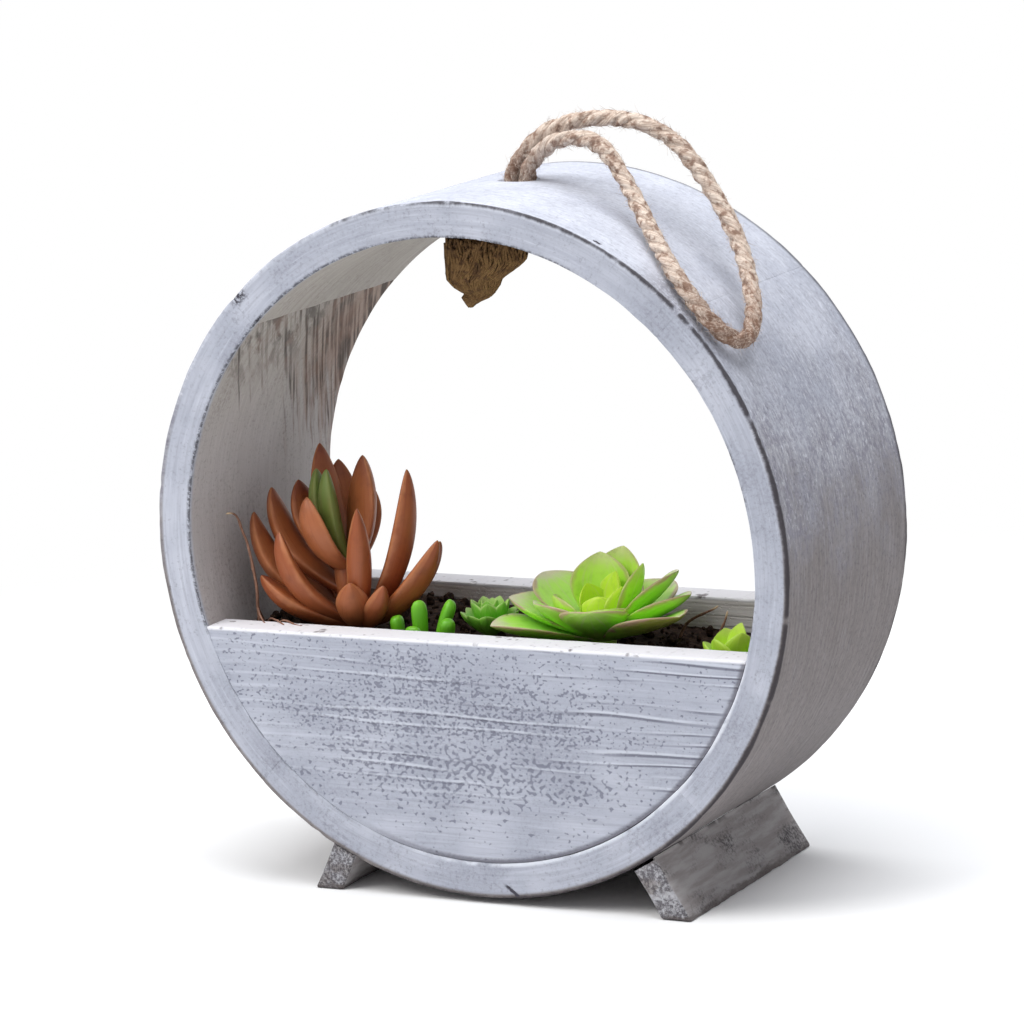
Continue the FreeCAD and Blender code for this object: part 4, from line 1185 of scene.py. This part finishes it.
YARN_LAY = 0.0085
YARN_SWELL = 0.05
FUZZ_HEIGHT = 0.00016
STEADY = (0.3, -0.7, 0.65)


def way_along(line):
    """Length of a line from its start to each of its points."""
    steps = np.linalg.norm(np.diff(line, axis=0), axis=1)
    return np.concatenate([[0], np.cumsum(steps)])


def spline_line(route, closeness):
    """Points of a NURBS spline of order 3 that has the route as its control points."""
    curve = bpy.data.curves.new("route", "CURVE")
    curve.dimensions = "3D"
    curve.resolution_u = closeness
    spline = curve.splines.new("NURBS")
    spline.points.add(len(route) - 1)
    spline.points.foreach_set("co", np.column_stack([route, np.ones(len(route))]).ravel())
    spline.order_u = 3
    spline.use_endpoint_u = True
    line = bpy.data.meshes.new_from_object(bpy.data.objects.new("route", curve))
    points = np.zeros(len(line.vertices) * 3)
    line.vertices.foreach_get("co", points)
    bpy.data.meshes.remove(line)
    bpy.data.curves.remove(curve)
    return points.reshape(-1, 3)


def frames(line, steady):
    """Two directions square to a line at each point: across it and a steady direction, and square to both."""
    ahead = unit(np.gradient(line, axis=0))
    across = unit(np.cross(ahead, steady))
    return across, np.cross(across, ahead)


def laid(line, along, radius, steady, around=48):
    """Rope skin about a line: three round strands that wind about it once in a lay. At an angle from the
    nearest strand's middle the skin is as far out as that strand's circle, so grooves lie between the
    strands, and the yarns of a strand swell it by a cosine."""
    across, over = frames(line, steady)
    turn = full_turn(around)[None]
    slack = LAY_SLACK * lumps(line, 0.011, 6)
    wind = turn - 2 * np.pi * (along + slack)[:, None] / STRAND_LAY
    sector = 2 * np.pi / STRANDS
    off = (wind + sector / 2) % sector - sector / 2
    hub = 1 - STRAND_SHARE
    out = hub * np.cos(off) + np.sqrt(STRAND_SHARE ** 2 - (hub * np.sin(off)) ** 2)
    yarn = np.cos(YARNS * wind + 2 * np.pi * along[:, None] / YARN_LAY)
    reach = radius[:, None] * out * (1 + YARN_SWELL * yarn)
    skin = line[:, None] + (reach * np.cos(turn))[..., None] * across[:, None]
    skin = skin + (reach * np.sin(turn))[..., None] * over[:, None]
    return skin, np.abs(off) / (sector / 2), wind


def jute_finish(name, light, shade, deep, darkening_share):
    """Jute: pale fibres along the strands, brown flecks, deep grooves with painted shade in them, and dark
    where the darkening mark says, which is painted shade with some dirt at the rope's fold.
    """
    material, place, shader = new_finish(name)
    along, wind, groove, dirt = (mark(place, word) for word in ("along", "wind", "groove", "dirt"))
    fibre = noise(joined(along, wind * 0.001), (0.005, 0.00020, 1.0), 1.0, 4.0, 0.7)
    fleck = noise(place, 0.0030, 4.0, 3.0)
    grain = noise(place, 0.0008, 6.0, 3.0)
    colour = mix(rise(fibre, 0.34, 0.60), shade, light)
    colour = mix(rise(fleck + grain * 0.4, 0.64, 0.84) * 0.75, colour, shade)
    colour = mix(rise(fleck + fibre * 0.5, 0.76, 0.92) * 0.75, colour, deep)
    colour = mix(dirt * rise(grain + fibre * 0.5, 0.35, 0.90) * darkening_share, colour, deep)
    # Painted shade in the grooves between the strands.
    colour = mix(rise(groove, 0.72, 1.0) * 0.45, colour, deep)
    height = fibre * 0.8 + fleck * 0.3 + grain * 0.3
    dress(shader, Base_Color=colour, Roughness=0.92, Specular_IOR_Level=0.12, Normal=bump(height, 0.0007))
    return material


def fibre_skins(roots, directions, reach, width, curl, draw, stations=5):
    """Thin bent slivers: three-sided, from a root along a direction, curled by a random vector that grows
    with the square of the way along, and drawn out to a point."""
    share = np.linspace(0, 1, stations)[None, :, None]
    bent = draw.normal(0, curl, (len(roots), 1, 3)) * reach[:, None]
    spine = roots[:, None] + directions[:, None] * reach[:, None] * share + bent * share ** 2
    side = unit(np.cross(directions, (0.21, 0.65, -0.73)))
    over = np.cross(side, directions)
    corner = full_turn(3)[None, None, :, None]
    section = np.cos(corner) * side[:, None, None] + np.sin(corner) * over[:, None, None]
    return spine[:, :, None] + section * (width * (1 - 0.8 * share))[..., None]


rope_jute = jute_finish("twisted_jute", tone(232, 218, 204), tone(186, 162, 146), tone(122, 92, 76), 0.9)
rope_line = spline_line(MOUTH + np.array(ROPE_ROUTE), ROPE_CLOSENESS)
rope_along = way_along(rope_line)
rope_swell = 0.92 + 0.06 * lumps(rope_line, 0.007, 3) + 0.03 * lumps(rope_line, 0.0016, 4)
rope_skin, rope_groove, rope_wind = laid(rope_line, rope_along, ROPE_DIAMETER / 2 * rope_swell, STEADY)
fuzz = FUZZ_HEIGHT * lumps(rope_skin, 0.0012, 5)[..., None]
rope_skin = rope_skin + fuzz * unit(rope_skin - rope_line[:, None])
# Darkening along the rope: near the fold partly dirt and partly painted shade under it, and near the mouth
# and inside the ring painted shade.
near_fold = np.exp(-(np.linalg.norm(rope_line - MOUTH - ROPE_FOLD, axis=1) / FOLD_SHADE_AND_DIRT) ** 2)
in_ring = (rope_line[:, 2] < MOUTH[2] - 0.002) & (np.abs(rope_line[:, 0]) < 2 * ROPE_HOLE_RADIUS)
near_mouth = np.exp(-(np.linalg.norm(rope_line - MOUTH - (0, 0, 0.004), axis=1) / MOUTH_SHADE) ** 2)
rope_dirt = np.minimum(near_fold + near_mouth + in_ring, 1)[:, None]
rope = skins("jute_rope", rope_skin[None], rope_jute, along=rope_along[:, None], wind=rope_wind,
             groove=rope_groove, dirt=rope_dirt)
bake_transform(rope)
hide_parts("rope_loop", "rope_front_stem", "rope_rear_stem")

# Loose fibres stand off the rope all along it, where the jute has been rubbed.
ROPE_FIBRES = 2400
FIBRE_LENGTH = 0.0030
FIBRE_WIDTH = 0.00009
FIBRE_DEPTH = 0.40
FIBRE_CURL = 0.3
draw = np.random.default_rng(11)
chosen = draw.integers(20, len(rope_line) - 20, ROPE_FIBRES)
spin = draw.uniform(0, 2 * np.pi, (ROPE_FIBRES, 1))
across, over = (sides[chosen] for sides in frames(rope_line, STEADY))
out = np.cos(spin) * across + np.sin(spin) * over
ahead = unit(np.gradient(rope_line, axis=0))[chosen] * draw.choice([-1, 1], (ROPE_FIBRES, 1))
fibre_heading = unit(out * draw.uniform(0.3, 0.9, (ROPE_FIBRES, 1)) + ahead)
fibre_reach = FIBRE_LENGTH * draw.uniform(0.4, 1.0, (ROPE_FIBRES, 1))
fibre_roots = rope_line[chosen] + out * ROPE_DIAMETER * FIBRE_DEPTH
fibre_rings = fibre_skins(fibre_roots, fibre_heading, fibre_reach, FIBRE_WIDTH, FIBRE_CURL, draw)
fibres = skins("jute_fibres", fibre_rings, rope_jute, along=rope_along[chosen][:, None, None], wind=0.0,
               groove=0.0, dirt=0.0)
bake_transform(fibres)

# Knot: both ends of the rope tied in one tight overhand knot under the hole, too big to pull through it. It
# hangs in the shade of the ring, brown and flattened, and its ends are frayed out over it to a short tuft.
# Knot and tuft are painted darker towards the top as shade under the ring.
KNOT_CENTRE = MOUTH + (-0.0105, -0.0060, -0.0270)
KNOT_AXIS = unit(np.array((0.45, 0.10, 1.0)))
KNOT_TURN = (0.30, 2 * np.pi - 0.12)
KNOT_SPREAD = 0.0024
KNOT_HEIGHT = 0.0034
KNOT_ROPE_RADIUS = 0.0046
KNOT_SHIFT = np.array((-0.0030, -0.0010, 0.0020))
TASSEL_SIDEWAYS = np.array((0.887, 0.462, 0.0))
TASSEL_DEEP = np.array((-0.462, 0.887, 0.0))
TASSEL_HEIGHTS = (0.008, -0.0016, -0.0055, -0.0077, -0.0105, -0.0134, -0.0146, -0.0166, -0.0184)
TASSEL_MIDDLES = (0.0000, -0.0010, -0.0036, -0.0054, -0.0049, -0.0038, -0.0053, -0.0072, -0.0076)
TASSEL_HALVES = (0.0155, 0.0145, 0.0119, 0.0100, 0.0083, 0.0050, 0.0052, 0.0020, 0.0008)
TASSEL_FIBRES = 700
TASSEL_STATIONS = 20
TASSEL_START = 0.008
TASSEL_RAGGED = 0.0012
TASSEL_TWIST = 40
TASSEL_DEPTH = 0.9
TASSEL_FIBRE = 0.0011
KNOT_SHADE = 0.012


def knot_line(steps):
    """Open overhand knot: across by sin t + 2 sin 2t, deep by cos t - 2 cos 2t and high by -sin 3t, over most
    of a turn of t, tilted to the knot's axis."""
    t = np.linspace(*KNOT_TURN, steps)
    flat = np.stack([np.sin(t) + 2 * np.sin(2 * t), np.cos(t) - 2 * np.cos(2 * t)], axis=-1) * KNOT_SPREAD
    side = unit(np.cross((0.0, 1.0, 0.0), KNOT_AXIS))
    line = KNOT_CENTRE + KNOT_SHIFT + flat[:, :1] * side + flat[:, 1:] * np.cross(KNOT_AXIS, side)
    return line - (np.sin(3 * t) * KNOT_HEIGHT)[:, None] * KNOT_AXIS


knot_jute = jute_finish("knotted_jute", tone(128, 100, 66), tone(105, 79, 51), tone(80, 59, 44), 0.8)
tied = knot_line(360)
tied_along = way_along(tied)
to_end = np.minimum(tied_along, tied_along[-1] - tied_along)
blunt = np.sqrt(1 - (1 - np.minimum(to_end / KNOT_ROPE_RADIUS, 1)) ** 2) * 0.97 + 0.03
knot_radius = KNOT_ROPE_RADIUS * blunt * (1 + 0.06 * lumps(tied, 0.004, 7))
knot_skin, knot_groove, knot_wind = laid(tied, tied_along, knot_radius, KNOT_AXIS)
# Painted shade: the knot is darker towards its top, under the ring.
knot_dirt = np.clip((knot_skin[..., 2] - KNOT_CENTRE[2] + 0.002) / KNOT_SHADE, 0, 1)
knot = skins("tied_knot", knot_skin[None], knot_jute, along=tied_along[:, None], wind=knot_wind,
             groove=knot_groove, dirt=knot_dirt)
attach(knot, "planter")
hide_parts("rope_knot")


def tassel_lines():
    """Frayed fibres that hang over the knot: at each height they stand round an oval whose middle and half
    width are given, nearly as deep as wide, and each turns a little about it on its way down. Also gives the
    turn at which each one starts."""
    each = (TASSEL_FIBRES, 1)
    turn = draw.uniform(0, 2 * np.pi, each)
    top = draw.uniform(0.0, TASSEL_START, each)
    end = TASSEL_HEIGHTS[-1] + np.abs(draw.normal(0, TASSEL_RAGGED, each))
    height = top + (end - top) * np.linspace(0, 1, TASSEL_STATIONS)
    spin = turn + draw.uniform(-TASSEL_TWIST, TASSEL_TWIST, each) * (top - height)
    drops = -np.array(TASSEL_HEIGHTS)
    middle = np.interp(-height, drops, TASSEL_MIDDLES)
    half = np.interp(-height, drops, TASSEL_HALVES) * draw.uniform(0.80, 1.0, each)
    sideways = (middle + half * np.cos(spin))[..., None] * TASSEL_SIDEWAYS
    deep = (half * TASSEL_DEPTH * np.sin(spin))[..., None] * TASSEL_DEEP
    return KNOT_CENTRE + sideways + deep + height[..., None] * (0, 0, 1), turn


tassel, tassel_turn = tassel_lines()
tassel_rings, tassel_along = stem_skins(tassel, TASSEL_FIBRE, 5)
# Painted shade: the tuft is darker towards its top, under the ring.
tassel_dirt = np.clip((tassel_rings[..., 2] - KNOT_CENTRE[2]) / KNOT_SHADE, 0, 1)
tail = skins("frayed_end", tassel_rings, knot_jute, along=tassel_along * 0.03,
             wind=tassel_turn[:, None] * 9, groove=0.0, dirt=tassel_dirt)
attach(tail, "planter")
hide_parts("rope_tail")

# Stage: a plain pale floor under two soft lamps and an even sky, seen through a long lens a little above the
# ring. The floor shows the shadow near the object and turns white farther out.
FLOOR_HALF = 3.0
FLOOR_WHITE = (0.22, 0.6)
LIGHT_AIM = (0, 0, 0.12)
SKY_LIGHT = (0.40, 0.41, 0.43, 1)
WHITE = (1, 1, 1, 1)
CAMERA_PLACE = (0.78628, -1.48572, 0.46794)
CAMERA_RIGHT = (0.88574, 0.46116, -0.05291)
CAMERA_UP = (-0.04457, 0.19795, 0.97920)
CAMERA_LENS = 167.52
CAMERA_SENSOR = 36.0


def seen_ray(value):
    """1 for rays from the camera, and for those that a shiny or a clear surface sends on."""
    ways = ("Is Camera Ray", "Is Glossy Ray", "Is Transmission Ray")
    camera, glossy, clear = (value.node("LightPath", {}, {}, way) for way in ways)
    return camera | glossy | clear


def floor_finish():
    """Pale floor that keeps the shadow close to the object and turns plain white for the camera far off."""
    material, place, shader = new_finish("pale_floor")
    x, y, z = parts_of(place)
    far = rise((x * x + y * y) ** 0.5, *FLOOR_WHITE)
    dress(shader, Base_Color=tone(250, 250, 250), Roughness=0.9, Specular_IOR_Level=0.0)
    white = place.node("Emission", {}, {"Color": WHITE, "Strength": 1.0})
    lit = Value(place.tree, shader.outputs[0])
    join = place.node("MixShader", {}, {0: far * seen_ray(place), 1: lit, 2: white})
    place.tree.links.new(join.socket, place.tree.nodes["Material Output"].inputs["Surface"])
    return material


floor_mesh = bpy.data.meshes.new("floor")
floor_corners = [(x * FLOOR_HALF, y * FLOOR_HALF, 0) for x, y in ((-1, -1), (1, -1), (1, 1), (-1, 1))]
floor_mesh.from_pydata(floor_corners, [], [(0, 1, 2, 3)])
floor_mesh.materials.append(floor_finish())
floor = put_up("floor", floor_mesh)


def soft_light(name, place, size, watts, colour):
    """Square area light at a place, turned to the object."""
    light = bpy.data.lights.new(name, "AREA")
    light.size = size
    light.energy = watts
    light.color = colour
    lamp = put_up(name, light)
    lamp.location = place
    lamp.rotation_euler = (Vector(place) - Vector(LIGHT_AIM)).to_track_quat("Z", "Y").to_euler()


soft_light("key", place=(-0.75, -1.0, 1.5), size=1.0, watts=17.0, colour=(1.0, 0.99, 0.97))
soft_light("top", place=(0.1, 0.0, 1.6), size=1.4, watts=26.0, colour=(0.97, 0.98, 1.0))

world = bpy.data.worlds.new("studio")
bpy.context.scene.world = world
world.use_nodes = True
world.node_tree.nodes.clear()
sky_out = world.node_tree.nodes.new("ShaderNodeOutputWorld")
sky = Value(world.node_tree, None)
sky_light = mix(seen_ray(sky), SKY_LIGHT, WHITE)
world.node_tree.links.new(sky.node("Background", {}, {"Color": sky_light}).socket, sky_out.inputs["Surface"])

lens = bpy.data.cameras.new("camera")
lens.lens = CAMERA_LENS
lens.sensor_width = CAMERA_SENSOR
camera = put_up("camera", lens)
right, upward = np.array(CAMERA_RIGHT), np.array(CAMERA_UP)
stand = np.eye(4)
stand[:3] = np.column_stack([right, upward, np.cross(right, upward), CAMERA_PLACE])
camera.matrix_world = Matrix(stand.tolist())
bpy.context.scene.camera = camera
bpy.context.scene.view_settings.view_transform = "Standard"
